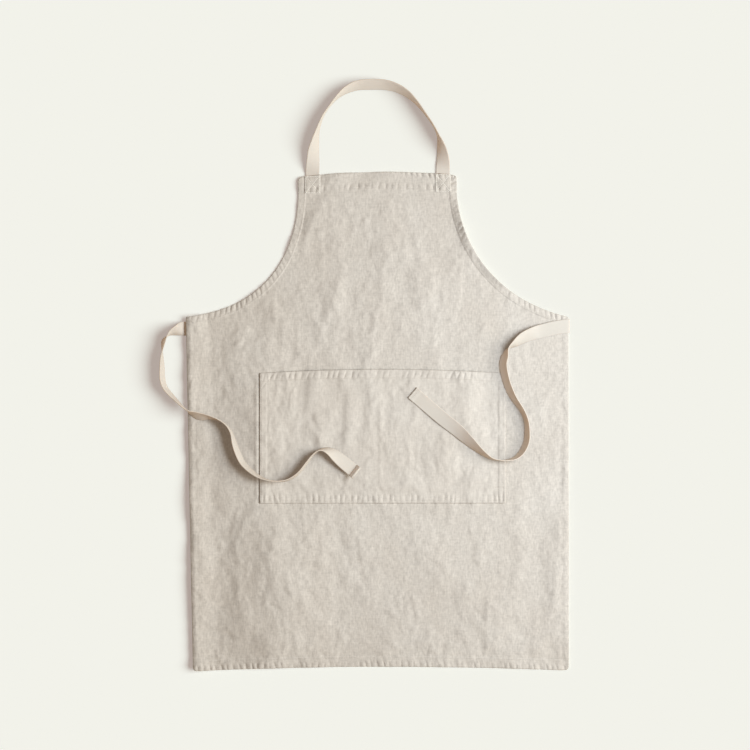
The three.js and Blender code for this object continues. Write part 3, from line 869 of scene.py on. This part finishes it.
def smooth_route(table):
    """Catmull-Rom curve through the table: places, headings and rolls."""
    rows = np.array(table, dtype=float)
    rows = np.concatenate([[2 * rows[0] - rows[1]], rows, [2 * rows[-1] - rows[-2]]])
    points = []
    for a, b, c, d in zip(rows, rows[1:], rows[2:], rows[3:]):
        steps = max(1, round(np.hypot(*(c - b)[:2]) / TAPE_STEP))
        t = (np.arange(steps) / steps)[:, None]
        curve = 2 * b + (c - a) * t + (2 * a - 5 * b + 4 * c - d) * t**2 + (3 * b - a - 3 * c + d) * t**3
        points.append(curve / 2)
    route = np.concatenate([*points, rows[-2:-1]])
    heading = np.gradient(route[:, :2], axis=0)
    heading /= np.linalg.norm(heading, axis=1)[:, None]
    return route[:, :2], heading, np.radians(route[:, 2])


def nearby(heights):
    """The heights in a window about each section."""
    padded = np.pad(heights, REST_WINDOW, mode="edge")
    return np.lib.stride_tricks.sliding_window_view(padded, 2 * REST_WINDOW + 1)


def laid(table, support):
    """Middle and sideways direction of each section of a tape that rests on its support."""
    place, heading, roll = smooth_route(table)
    across = np.column_stack([heading[:, 1] * np.cos(roll), -heading[:, 0] * np.cos(roll), np.sin(roll)])
    feet = [place + across[:, :2] * TAPE_WIDTH * share for share in FEET]
    base = np.max([support(*foot.T) for foot in feet], axis=0)
    base = nearby(nearby(base).max(axis=1)).mean(axis=1)
    rise = (TAPE_WIDTH * np.abs(np.sin(roll)) + TAPE_THICK * np.abs(np.cos(roll))) / 2
    return np.column_stack([place, base + GAP + rise]), across


print("tape", mm(TAPE_WIDTH), "mm wide, a section every", mm(TAPE_STEP), "mm")


# %% [markdown]
# ## Weaving a band
# Each section of a tape is a flat loop of points: one face, an edge, the other face and the other edge.
# Joining loop to loop gives a closed band. Where the tape stands up, its middle bows a little out of line
# with the edges, as a tape does that has been wound on a card, and small ripples keep it from looking like
# sheet metal. Its woven edges are a little thicker than the rest. A UV map holds metres across and along,
# so that the weave can follow the tape round every bend.

# %% Band from sections
BAND_COLUMNS = 15
TAPE_CUP = 0.0010
RIPPLE = 0.00014
RIPPLE_RUN = 0.013
RIPPLE_ACROSS = 1.2
RIPPLE_ROW = 9
SELVEDGE = 0.45
SELVEDGE_POWER = 10
EDGE_REACH = 1.02


def tape_faces(middle, across):
    """Direction square to the tape at each section."""
    face = np.cross(across, np.gradient(middle, axis=0))
    return face / np.linalg.norm(face, axis=1)[:, None]


def tape_length(middle):
    """Length from the start to each section."""
    return np.r_[0, np.cumsum(np.linalg.norm(np.diff(middle, axis=0), axis=1))]


def band_object(name, middle, across, thick, seed):
    """A closed band through sections, with its width in u and its length in v."""
    face = tape_faces(middle, across)
    length = tape_length(middle)
    share = np.linspace(-1, 1, BAND_COLUMNS)
    standing = np.abs(across[:, 2])[:, None]
    run = length[:, None] / RIPPLE_RUN
    ripple = cloth_noise(*np.broadcast_arrays(run, share * RIPPLE_ACROSS + RIPPLE_ROW), seed)
    bend = TAPE_CUP * standing * (1 - share**2) + RIPPLE * (1 + ripple)
    half = thick[:, None] / 2 * (1 + SELVEDGE * share**SELVEDGE_POWER)
    edge = np.zeros((len(middle), 1))
    offsets = np.concatenate([bend + half, edge, (bend - half)[:, ::-1], edge], axis=1)
    side = np.r_[share, EDGE_REACH, share[::-1], -EDGE_REACH] * TAPE_WIDTH / 2
    points = middle[:, None] + across[:, None] * side[:, None] + face[:, None] * offsets[:, :, None]
    rows, columns = offsets.shape
    index = np.arange(rows * columns).reshape(rows, columns)
    after = np.roll(index, -1, axis=1)
    quads = np.stack([index[:-1], after[:-1], after[1:], index[1:]], axis=-1).reshape(-1, 4)
    faces = quads.tolist() + [index[0, ::-1].tolist(), index[-1].tolist()]
    band = mesh_object(name, points.reshape(-1, 3), faces)
    layer = band.data.uv_layers.new(name="weave")
    corners = np.zeros(len(band.data.loops), dtype=np.int32)
    band.data.loops.foreach_get("vertex_index", corners)
    metres = np.column_stack([np.tile(side, rows), np.repeat(length, columns)])
    layer.uv.foreach_set("vector", metres[corners].ravel())
    return band


print("a band has", 2 * BAND_COLUMNS + 2, "points in each section")


# %% [markdown]
# ## Ends of the ties
# The free end of a tie is turned back and sewn, so its last stretch is thicker. The left one has dried
# with its end turned up. The right tie comes out from behind the panel and turns round its side edge to
# the front.

# %% Neck strap and ties
TAPE_HEM = 0.011
TAPE_HEM_THICK = 0.0030
TAPE_HEM_STEP = 0.001
CURL = math.radians(54)
CURL_LENGTH = 0.016
CURL_BEND = 0.006
EDGE_TURN_STEPS = 10
SEWN_STEPS = 11
TIE_SEWN = 0.031
RIGHT_TIE_Y = 0.175


def turned_end(middle):
    """Thickness along a tie whose last stretch is turned back and sewn."""
    length = tape_length(middle)
    return mix(TAPE_THICK, TAPE_HEM_THICK, ease(0.5 + (TAPE_HEM - length[-1] + length) / TAPE_HEM_STEP))


def curled_end(middle):
    """The same sections with the last stretch turned up in a short bend."""
    length = tape_length(middle)
    first = np.argmax(length > length[-1] - CURL_LENGTH)
    heading = middle[first] - middle[first - 1]
    heading /= np.linalg.norm(heading)
    run = length[first:] - length[first]
    turn = CURL * ease(run / CURL_BEND)[1:, None]
    steps = np.diff(run)[:, None] * (np.cos(turn) * heading + np.sin(turn) * [0, 0, 1])
    return np.concatenate([middle[: first + 1], middle[first] + np.cumsum(steps, axis=0)])


def behind_edge(start_height):
    """Middle of the right tie behind the panel and round its edge, up to a height."""
    low = TAPE_THICK / 2
    radius = (start_height - low) / 2
    edge = RIGHT_SIDE.waist[0] + GAP
    turn = np.linspace(-math.pi / 2, math.pi / 2, EDGE_TURN_STEPS)
    x = np.r_[np.linspace(edge - TIE_SEWN, edge, SEWN_STEPS, endpoint=False), edge + radius * np.cos(turn)]
    z = np.r_[np.full(SEWN_STEPS, low), low + radius + radius * np.sin(turn)]
    return np.column_stack([x, np.full_like(x, RIGHT_TIE_Y), z])


strap_middle, strap_across = laid(NECK_STRAP, bare_floor)
left_middle, left_across = laid(LEFT_TIE, left_tie_support)
left_middle = curled_end(left_middle)
laid_middle, laid_across = laid(RIGHT_TIE, cloth_top)
behind = behind_edge(laid_middle[0, 2])
right_middle = np.concatenate([behind, laid_middle])
right_across = np.concatenate([np.tile([0.0, 1.0, 0.0], (len(behind), 1)), laid_across])

even_thickness = np.full(len(strap_middle), TAPE_THICK)
strap = band_object("neck_strap_tape", strap_middle, strap_across, even_thickness, seed=51)
left_thick = turned_end(left_middle)
right_thick = turned_end(right_middle)
left_tie = band_object("waist_tie_left_tape", left_middle, left_across, left_thick, seed=52)
right_tie = band_object("waist_tie_right_tape", right_middle, right_across, right_thick, seed=53)
for tape, middle in ((strap, strap_middle), (left_tie, left_middle), (right_tie, right_middle)):
    tape["tape_length"] = float(tape_length(middle)[-1])
    print(tape.name, round(tape["tape_length"], 3), "m")
    report(tape)

# %% [markdown]
# ## Stitches
# A lockstitch shows as a row of short dashes with small gaps. Each dash is a little tube that dives into
# the cloth at both ends. All the dashes of one piece of cloth are one mesh, because a thousand objects
# would be slow to handle.

# %% Rows of stitches
STITCH = 0.0030
STITCH_GAP = 0.0007
THREAD = 0.00032
BOX_THREAD = 0.0007
THREAD_SIDES = 5
ROW_STEP = 0.001
TAPE_ROW = 0.42
TAPE_ROW_POINTS = 24
STITCH_LIFT = np.array([-0.9, 0.7, 0.7, -0.9])
UP = np.array([0.0, 0.0, 1.0])


def unit(vectors):
    return vectors / np.linalg.norm(vectors, axis=-1, keepdims=True)


def stitch_object(name, rows):
    """Stitches along rows, each with its points, the way its cloth faces and its thread's radius."""
    rings = []
    turn = np.arange(THREAD_SIDES)[:, None] / THREAD_SIDES * math.tau
    for points, up, thread in rows:
        length = tape_length(points)
        start = np.arange(0, length[-1] - STITCH / 2, STITCH)
        at = start[:, None] + np.linspace(0, STITCH - STITCH_GAP, len(STITCH_LIFT))
        centre = np.stack([np.interp(at, length, column) for column in points.T], axis=-1)
        centre = centre + thread * STITCH_LIFT[:, None] * up
        along = np.gradient(centre, axis=1)
        side = unit(np.cross(along, up))
        above = unit(np.cross(side, along))
        ring = np.cos(turn) * side[:, :, None] + np.sin(turn) * above[:, :, None]
        rings.append(centre[:, :, None] + thread * ring)
    points = np.concatenate(rings)
    index = np.arange(points.size // 3).reshape(points.shape[:3])
    after = np.roll(index, -1, axis=2)
    quads = np.stack([index[:, :-1], index[:, 1:], after[:, 1:], after[:, :-1]], axis=-1).reshape(-1, 4)
    faces = quads.tolist() + index[:, 0].tolist() + index[:, -1, ::-1].tolist()
    return mesh_object(name, points.reshape(-1, 3), faces)


def cloth_row(line, top, thread=THREAD):
    """A row along a flat line, on the upper face that top gives."""
    line = spaced(np.asarray(line, dtype=float), ROW_STEP)
    return np.column_stack([line, top(*line.T)]), UP, thread


def across_tape(middle, across, thick, from_end):
    """A row across a tape, at a distance from its end."""
    length = tape_length(middle)
    at = np.argmax(length > length[-1] - from_end)
    face = tape_faces(middle, across)[at]
    run = np.linspace(-TAPE_ROW, TAPE_ROW, TAPE_ROW_POINTS)[:, None] * TAPE_WIDTH
    return middle[at] + run * across[at] + face * (thick[at] / 2 + RIPPLE), face, THREAD


print("stitches", mm(STITCH), "mm long")

# %% Seams of the apron
BIB_ENDS = (-0.136, 0.134)
SEAM = 0.0035
MOUTH_END = 0.002
TIE_ROWS = (0.0085, 0.0025)

bib_x = np.linspace(*BIB_ENDS, LINE_POINTS)
panel_rows = [
    np.column_stack([bib_x, top_y(bib_x) - TOP.stitch]),
    np.column_stack([hem_x, bottom_y(hem_x) + BOTTOM.stitch]),
    inside_line(left_armhole, -1, ARMHOLE.stitch),
    inside_line(right_armhole, 1, ARMHOLE.stitch),
]
hem_rows = [cloth_row(line, panel_top) for line in panel_rows]
box_rows = [cloth_row(line, panel_top, BOX_THREAD) for line in strap_lines]
panel_stitches = stitch_object("panel_stitches", hem_rows)
strap_stitches = stitch_object("strap_stitches", box_rows)

mouth_x = np.linspace(POCKET.left + SEAM, POCKET.right - SEAM, LINE_POINTS)
seam = Box(POCKET.left + SEAM, POCKET.right - SEAM, POCKET.bottom + SEAM, POCKET.top - MOUTH_END)
pocket_rows = [
    np.column_stack([mouth_x, mouth_y(mouth_x) - MOUTH.stitch]),
    [(seam.left, seam.top), (seam.left, seam.bottom)],
    [(seam.left, seam.bottom), (seam.right, seam.bottom)],
    [(seam.right, seam.bottom), (seam.right, seam.top)],
    *pocket_lines,
]
pocket_stitches = stitch_object("pocket_stitches", [cloth_row(line, pocket_top) for line in pocket_rows])


def tie_stitches(name, middle, across, thick):
    """Rows across the turned end of a tie."""
    return stitch_object(name, [across_tape(middle, across, thick, row) for row in TIE_ROWS])


left_tie_stitches = tie_stitches("waist_tie_left_stitches", left_middle, left_across, left_thick)
right_tie_stitches = tie_stitches("waist_tie_right_stitches", right_middle, right_across, right_thick)
hem_threads = (panel_stitches, pocket_stitches)
tape_threads = (strap_stitches, left_tie_stitches, right_tie_stitches)
for threads in hem_threads + tape_threads:
    report(threads)

# %% [markdown]
# ## Linen
# Plain weave goes over one thread and under the next, both ways. Linen yarn is uneven: thick slubs run
# along some threads, and no two threads have quite the same colour. One node group makes the weave for all
# the materials, from a position in metres.

# %% Node helpers
def node(tree, kind, links=None, **values):
    """A new node, with sockets set from values and linked from links."""
    made = tree.nodes.new(kind)
    for name, value in values.items():
        setattr(made, name, value)
    for socket, source in (links or {}).items():
        if isinstance(source, bpy.types.NodeSocket):
            tree.links.new(source, made.inputs[socket])
        else:
            made.inputs[socket].default_value = source
    return made


def new_group(name, inputs, outputs):
    """An empty shader node group with its input and output nodes."""
    group = bpy.data.node_groups.new(name, "ShaderNodeTree")
    for socket, kind, default in inputs:
        made = group.interface.new_socket(socket, in_out="INPUT", socket_type=kind)
        if default is not None:
            made.default_value = default
    for socket, kind in outputs:
        group.interface.new_socket(socket, in_out="OUTPUT", socket_type=kind)
    return group, group.nodes.new("NodeGroupInput"), group.nodes.new("NodeGroupOutput")


def calculate(tree, operation, *values):
    """The output of a math node."""
    return node(tree, "ShaderNodeMath", dict(enumerate(values)), operation=operation).outputs[0]


def noise_around_zero(tree, place, scale, detail):
    """Noise about 0 with one bump for each metre divided by scale, across, along and upwards."""
    stretched = node(tree, "ShaderNodeVectorMath", {0: place, 1: scale}, operation="MULTIPLY")
    sockets = {"Vector": stretched.outputs[0], "Scale": 1.0, "Detail": detail}
    noise = node(tree, "ShaderNodeTexNoise", sockets)
    return calculate(tree, "SUBTRACT", noise.outputs[0], 0.5)


# %% Weave group
WARP_SLUBS = (330.0, 110.0, 1.0)
WEFT_SLUBS = (110.0, 330.0, 1.0)
SLUB_DETAIL = 3.0
WEFT_SHARE = 0.6
WRINKLES = (120.0, 85.0, 1.0)
THREAD_HEIGHT = 0.1
SLUB_HEIGHT = 0.35


def build_weave_group():
    """Plain weave: thread height, and a shade that varies from thread to thread."""
    group, start, end = new_group(
        "plain_weave",
        [
            ("Place", "NodeSocketVector", None),
            ("Threads per metre", "NodeSocketFloat", 1300.0),
            ("Slubs", "NodeSocketFloat", 1.0),
            ("Wrinkles", "NodeSocketFloat", 1.0),
        ],
        [("Shade", "NodeSocketFloat"), ("Height", "NodeSocketFloat")],
    )
    place = start.outputs["Place"]
    turns = calculate(group, "MULTIPLY", start.outputs["Threads per metre"], math.pi)
    split = node(group, "ShaderNodeSeparateXYZ", {"Vector": place})
    warp = calculate(group, "SINE", calculate(group, "MULTIPLY", split.outputs["X"], turns))
    weft = calculate(group, "SINE", calculate(group, "MULTIPLY", split.outputs["Y"], turns))
    threads = calculate(group, "MULTIPLY", warp, weft)
    warp_slubs = noise_around_zero(group, place, WARP_SLUBS, SLUB_DETAIL)
    weft_slubs = noise_around_zero(group, place, WEFT_SLUBS, SLUB_DETAIL)
    slubs = calculate(group, "ADD", warp_slubs, calculate(group, "MULTIPLY", weft_slubs, WEFT_SHARE))
    slubs = calculate(group, "MULTIPLY", slubs, start.outputs["Slubs"])
    wrinkles = noise_around_zero(group, place, WRINKLES, SLUB_DETAIL)
    wrinkles = calculate(group, "MULTIPLY", wrinkles, start.outputs["Wrinkles"])
    group.links.new(slubs, end.inputs["Shade"])
    thick = calculate(group, "MULTIPLY", slubs, SLUB_HEIGHT)
    fine = calculate(group, "MULTIPLY_ADD", threads, THREAD_HEIGHT, thick)
    group.links.new(calculate(group, "ADD", fine, wrinkles), end.inputs["Height"])
    return group


plain_weave = build_weave_group()
print(plain_weave.name, "has", len(plain_weave.nodes), "nodes")


# %% Linen material
LINEN = (0.656, 0.600, 0.532)
WARM_LINEN = (0.604, 0.542, 0.472)
POCKET_LIGHTER = 1.012
TONES = (11.0, 8.0, 1.0)
TONE_DETAIL = 4.0
TONE_CONTRAST = 2.2
CLOTH_SPECULAR = 0.2
COLOUR_A, COLOUR_B, COLOUR_MIXED = 6, 7, 2


def cloth_material(name, place_kind, colours, weave_values, shade, bump, roughness):
    """A woven finish: two tones mixed by broad noise, shaded from thread to thread."""
    material = bpy.data.materials.new(name)
    material.use_nodes = True
    tree = material.node_tree
    shader = tree.nodes["Principled BSDF"]
    if place_kind == "UV":
        place = node(tree, "ShaderNodeUVMap", uv_map="weave").outputs["UV"]
    else:
        place = node(tree, "ShaderNodeTexCoord").outputs["Object"]
    weave = node(tree, "ShaderNodeGroup", node_tree=plain_weave)
    tree.links.new(place, weave.inputs["Place"])
    for socket, value in weave_values.items():
        weave.inputs[socket].default_value = value
    broad = noise_around_zero(tree, place, TONES, TONE_DETAIL)
    share = calculate(tree, "MULTIPLY_ADD", broad, TONE_CONTRAST, 0.5)
    tone = node(tree, "ShaderNodeMix", {"Factor": share}, data_type="RGBA")
    tone.inputs[COLOUR_A].default_value = (*colours[0], 1)
    tone.inputs[COLOUR_B].default_value = (*colours[1], 1)
    factor = calculate(tree, "MULTIPLY_ADD", weave.outputs["Shade"], shade, 1.0)
    mixed = tone.outputs[COLOUR_MIXED]
    colour = node(tree, "ShaderNodeVectorMath", {0: mixed, "Scale": factor}, operation="SCALE")
    tree.links.new(colour.outputs[0], shader.inputs["Base Color"])
    relief = {"Height": weave.outputs["Height"], "Strength": 1.0, "Distance": bump}
    bumped = node(tree, "ShaderNodeBump", relief)
    tree.links.new(bumped.outputs["Normal"], shader.inputs["Normal"])
    shader.inputs["Roughness"].default_value = roughness
    shader.inputs["Specular IOR Level"].default_value = CLOTH_SPECULAR
    return material


linen_weave = {"Threads per metre": 1300.0, "Slubs": 1.0, "Wrinkles": 1.0}
linen = cloth_material(
    "linen", "OBJECT", (LINEN, WARM_LINEN), linen_weave, shade=0.50, bump=0.0007, roughness=0.9
)
pocket_tones = tuple(tuple(c * POCKET_LIGHTER for c in tone) for tone in (LINEN, WARM_LINEN))
pocket_finish = cloth_material(
    "pocket_linen", "OBJECT", pocket_tones, linen_weave, shade=0.38, bump=0.0003, roughness=0.9
)
panel.data.materials.append(linen)
pocket.data.materials.append(pocket_finish)
print(linen.name, "and", pocket_finish.name, "share the weave")

# %% [markdown]
# ## Tape and thread
# The tape is thin enough for light to come through it, and what comes through is warmer, so its shaded
# side looks tan. A translucent shader mixed with the plain one does that: light passes through both faces
# of the band and is tinted at each. The strap and the tie ends are sewn with cotton thread that is lighter
# than the linen, and the hems with thread of the linen's own colour. The tapes are left out of bounced
# light, because otherwise they throw bright patches on the floor.

# %% Tape and thread materials
TAPE = (0.832, 0.793, 0.712)
WARM_TAPE = (0.827, 0.778, 0.690)
THROUGH_TAPE = 0.28
TAPE_TINT = (1.15, 0.775, 0.48)
THREAD_TONES = ((0.900, 0.855, 0.780), (0.860, 0.810, 0.730))


def let_light_through(material, share, tint):
    """Mixes in the light that comes through from behind, tinted."""
    tree = material.node_tree
    shader = tree.nodes["Principled BSDF"]
    colour = shader.inputs["Base Color"].links[0].from_socket
    tinted = node(tree, "ShaderNodeVectorMath", {0: colour, 1: tint}, operation="MULTIPLY")
    behind = node(tree, "ShaderNodeBsdfTranslucent", {"Color": tinted.outputs[0]})
    both = node(tree, "ShaderNodeMixShader", {0: share, 1: shader.outputs[0], 2: behind.outputs[0]})
    tree.links.new(both.outputs[0], tree.nodes["Material Output"].inputs["Surface"])


tape_weave = {"Threads per metre": 1800.0, "Slubs": 0.5, "Wrinkles": 0.4}
tape_finish = cloth_material(
    "cotton_tape", "UV", (TAPE, WARM_TAPE), tape_weave, shade=0.10, bump=0.00025, roughness=0.85
)
let_light_through(tape_finish, THROUGH_TAPE, TAPE_TINT)
for tape in (strap, left_tie, right_tie):
    tape.data.materials.append(tape_finish)
    tape.visible_diffuse = False
thread_weave = {"Threads per metre": 3000.0, "Slubs": 0.5, "Wrinkles": 0.0}
thread_relief = {"shade": 0.15, "bump": 0.0001, "roughness": 0.8}
thread_finish = cloth_material("thread", "OBJECT", THREAD_TONES, thread_weave, **thread_relief)
hem_finish = cloth_material("hem_thread", "OBJECT", (LINEN, WARM_LINEN), thread_weave, **thread_relief)
for finish, sewn in ((thread_finish, tape_threads), (hem_finish, hem_threads)):
    for threads in sewn:
        threads.data.materials.append(finish)
print(tape_finish.name, "lets", THROUGH_TAPE, "of the light through")

# %% [markdown]
# ## Floor, light and camera
# The apron lies on a plain pale floor that glows a little, like paper on a light table, so it stays even.
# One wide, soft lamp shines from the right. A second lamp stands close to the right side and is linked to
# the apron only, so that the cloth gets darker away from it, and a third brightens the floor alone, from
# the same direction as the first. The sky fills the shadows with a warmer, weaker light, but the camera
# sees it as pale as the floor. The camera looks straight down from far away through a long lens, so the
# standing tapes hardly lean outwards.

# %% Floor
FLOOR = (0.930, 0.955, 0.905)
FLOOR_GLOW = (1.0, 0.858, 0.916)
FLOOR_GLOW_STRENGTH = 0.19
FLOOR_HALF = 8.0
FLOOR_Z = -0.0005

square = ((-1, -1), (1, -1), (1, 1), (-1, 1))
floor_corners = np.array([(x * FLOOR_HALF, y * FLOOR_HALF, FLOOR_Z) for x, y in square])
floor = mesh_object("floor", floor_corners, [[0, 1, 2, 3]])
floor_finish = bpy.data.materials.new("floor")
floor_finish.use_nodes = True
floor_values = {
    "Base Color": (*FLOOR, 1),
    "Roughness": 1.0,
    "Specular IOR Level": 0.0,
    "Emission Color": (*FLOOR_GLOW, 1),
    "Emission Strength": FLOOR_GLOW_STRENGTH,
}
for socket, value in floor_values.items():
    floor_finish.node_tree.nodes["Principled BSDF"].inputs[socket].default_value = value
floor.data.materials.append(floor_finish)
print("floor", 2 * FLOOR_HALF, "m wide")


# %% Lamps
SUN_ELEVATION = math.radians(39)
SUN_WIDTH = math.radians(40)
SUN_ENERGY = 1.76
SUN_COLOUR = (0.994, 1.0, 0.952)
FLOOR_LAMP_ENERGY = 1.026
FLOOR_LAMP_COLOUR = (0.638, 0.907, 1.0)
NEAR_LAMP = (0.70, 0.10, 1.20)
NEAR_SIZE = 0.6
NEAR_ENERGY = 15.8
NEAR_COLOUR = (0.772, 0.886, 1.0)


def add_lamp(name, kind, energy, colour):
    """A lamp that shines on everything."""
    light = bpy.data.lights.new(name, kind)
    light.energy = energy
    light.color = colour
    return add_object(name, light)


def shine_only_on(lamp, name, pieces):
    """Links a lamp to a few pieces."""
    lit = bpy.data.collections.new(name)
    for made in pieces:
        lit.objects.link(made)
    lamp.light_linking.receiver_collection = lit


soft_lamp = add_lamp("soft_lamp", "SUN", SUN_ENERGY, SUN_COLOUR)
near_lamp = add_lamp("near_lamp", "AREA", NEAR_ENERGY, NEAR_COLOUR)
floor_lamp = add_lamp("floor_lamp", "SUN", FLOOR_LAMP_ENERGY, FLOOR_LAMP_COLOUR)
for lamp in (soft_lamp, floor_lamp):
    lamp.data.angle = SUN_WIDTH
    lamp.rotation_euler = (0, math.pi / 2 - SUN_ELEVATION, 0)
near_lamp.data.shape = "DISK"
near_lamp.data.size = NEAR_SIZE
near_lamp.location = NEAR_LAMP
shine_only_on(near_lamp, "apron", [panel, pocket, strap, left_tie, right_tie, *hem_threads, *tape_threads])
shine_only_on(floor_lamp, "ground", [floor])
print("main lamp", round(math.degrees(SUN_ELEVATION)), "degrees up")

# %% Sky and camera
WALL = (0.888, 0.888, 0.823)
SKY = (1.0, 0.815, 0.648)
SKY_STRENGTH = 0.27
VIEW_CENTRE = (-0.0055, 0.0852)
VIEW_WIDTH = 1.374
LENS = 150
SENSOR = 36
CLIP_END = 100

world = bpy.data.worlds.new("studio")
world.use_nodes = True
sky = world.node_tree
fill = sky.nodes["Background"]
fill.inputs["Color"].default_value = (*SKY, 1)
fill.inputs["Strength"].default_value = SKY_STRENGTH
seen = node(sky, "ShaderNodeBackground", {"Color": (*WALL, 1)})
ray = node(sky, "ShaderNodeLightPath").outputs["Is Camera Ray"]
both = node(sky, "ShaderNodeMixShader", {0: ray, 1: fill.outputs[0], 2: seen.outputs[0]})
sky.links.new(both.outputs[0], sky.nodes["World Output"].inputs["Surface"])
bpy.context.scene.world = world
bpy.context.scene.view_settings.view_transform = "Standard"

camera_data = bpy.data.cameras.new("camera")
camera_data.lens = LENS
camera_data.sensor_width = SENSOR
camera_data.clip_end = CLIP_END
camera = add_object("camera", camera_data)
camera.location = (*VIEW_CENTRE, VIEW_WIDTH * LENS / SENSOR)
bpy.context.scene.camera = camera
print("camera", round(camera.location.z, 2), "m above the floor")

# %% [markdown]
# ## Handing over
# Every piece rides on the one body, and each dressed sheet takes the place of its solid. The flat size is
# the cloth as it was cut, before it was hemmed: the panel and the pocket with what their hems turn in, and
# the tapes with their turned ends.

# %% Hand the pieces over
Piece = namedtuple("Piece", "made node slot cut_size area stitches")
PANEL_CUT = (0.736, 0.975)
PANEL_CUT_AREA = 0.605
POCKET_CUT = (0.485, 0.270)
left_cut = (TAPE_WIDTH, left_tie["tape_length"] + TAPE_HEM)
right_cut = (TAPE_WIDTH, right_tie["tape_length"] + TAPE_HEM)
pieces = [
    Piece(panel, "panel", "linen", PANEL_CUT, PANEL_CUT_AREA, [panel_stitches, strap_stitches]),
    Piece(pocket, "pocket", "pocket_linen", POCKET_CUT, math.prod(POCKET_CUT), [pocket_stitches]),
    Piece(strap, "neck_strap", "strap_tape", (TAPE_WIDTH, strap["tape_length"]), None, []),
    Piece(left_tie, "waist_tie_left", "tie_tape", left_cut, None, [left_tie_stitches]),
    Piece(right_tie, "waist_tie_right", "tie_tape", right_cut, None, [right_tie_stitches]),
]
for piece in pieces:
    for made in [piece.made, *piece.stitches]:
        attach(made, "root")
    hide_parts(piece.node)
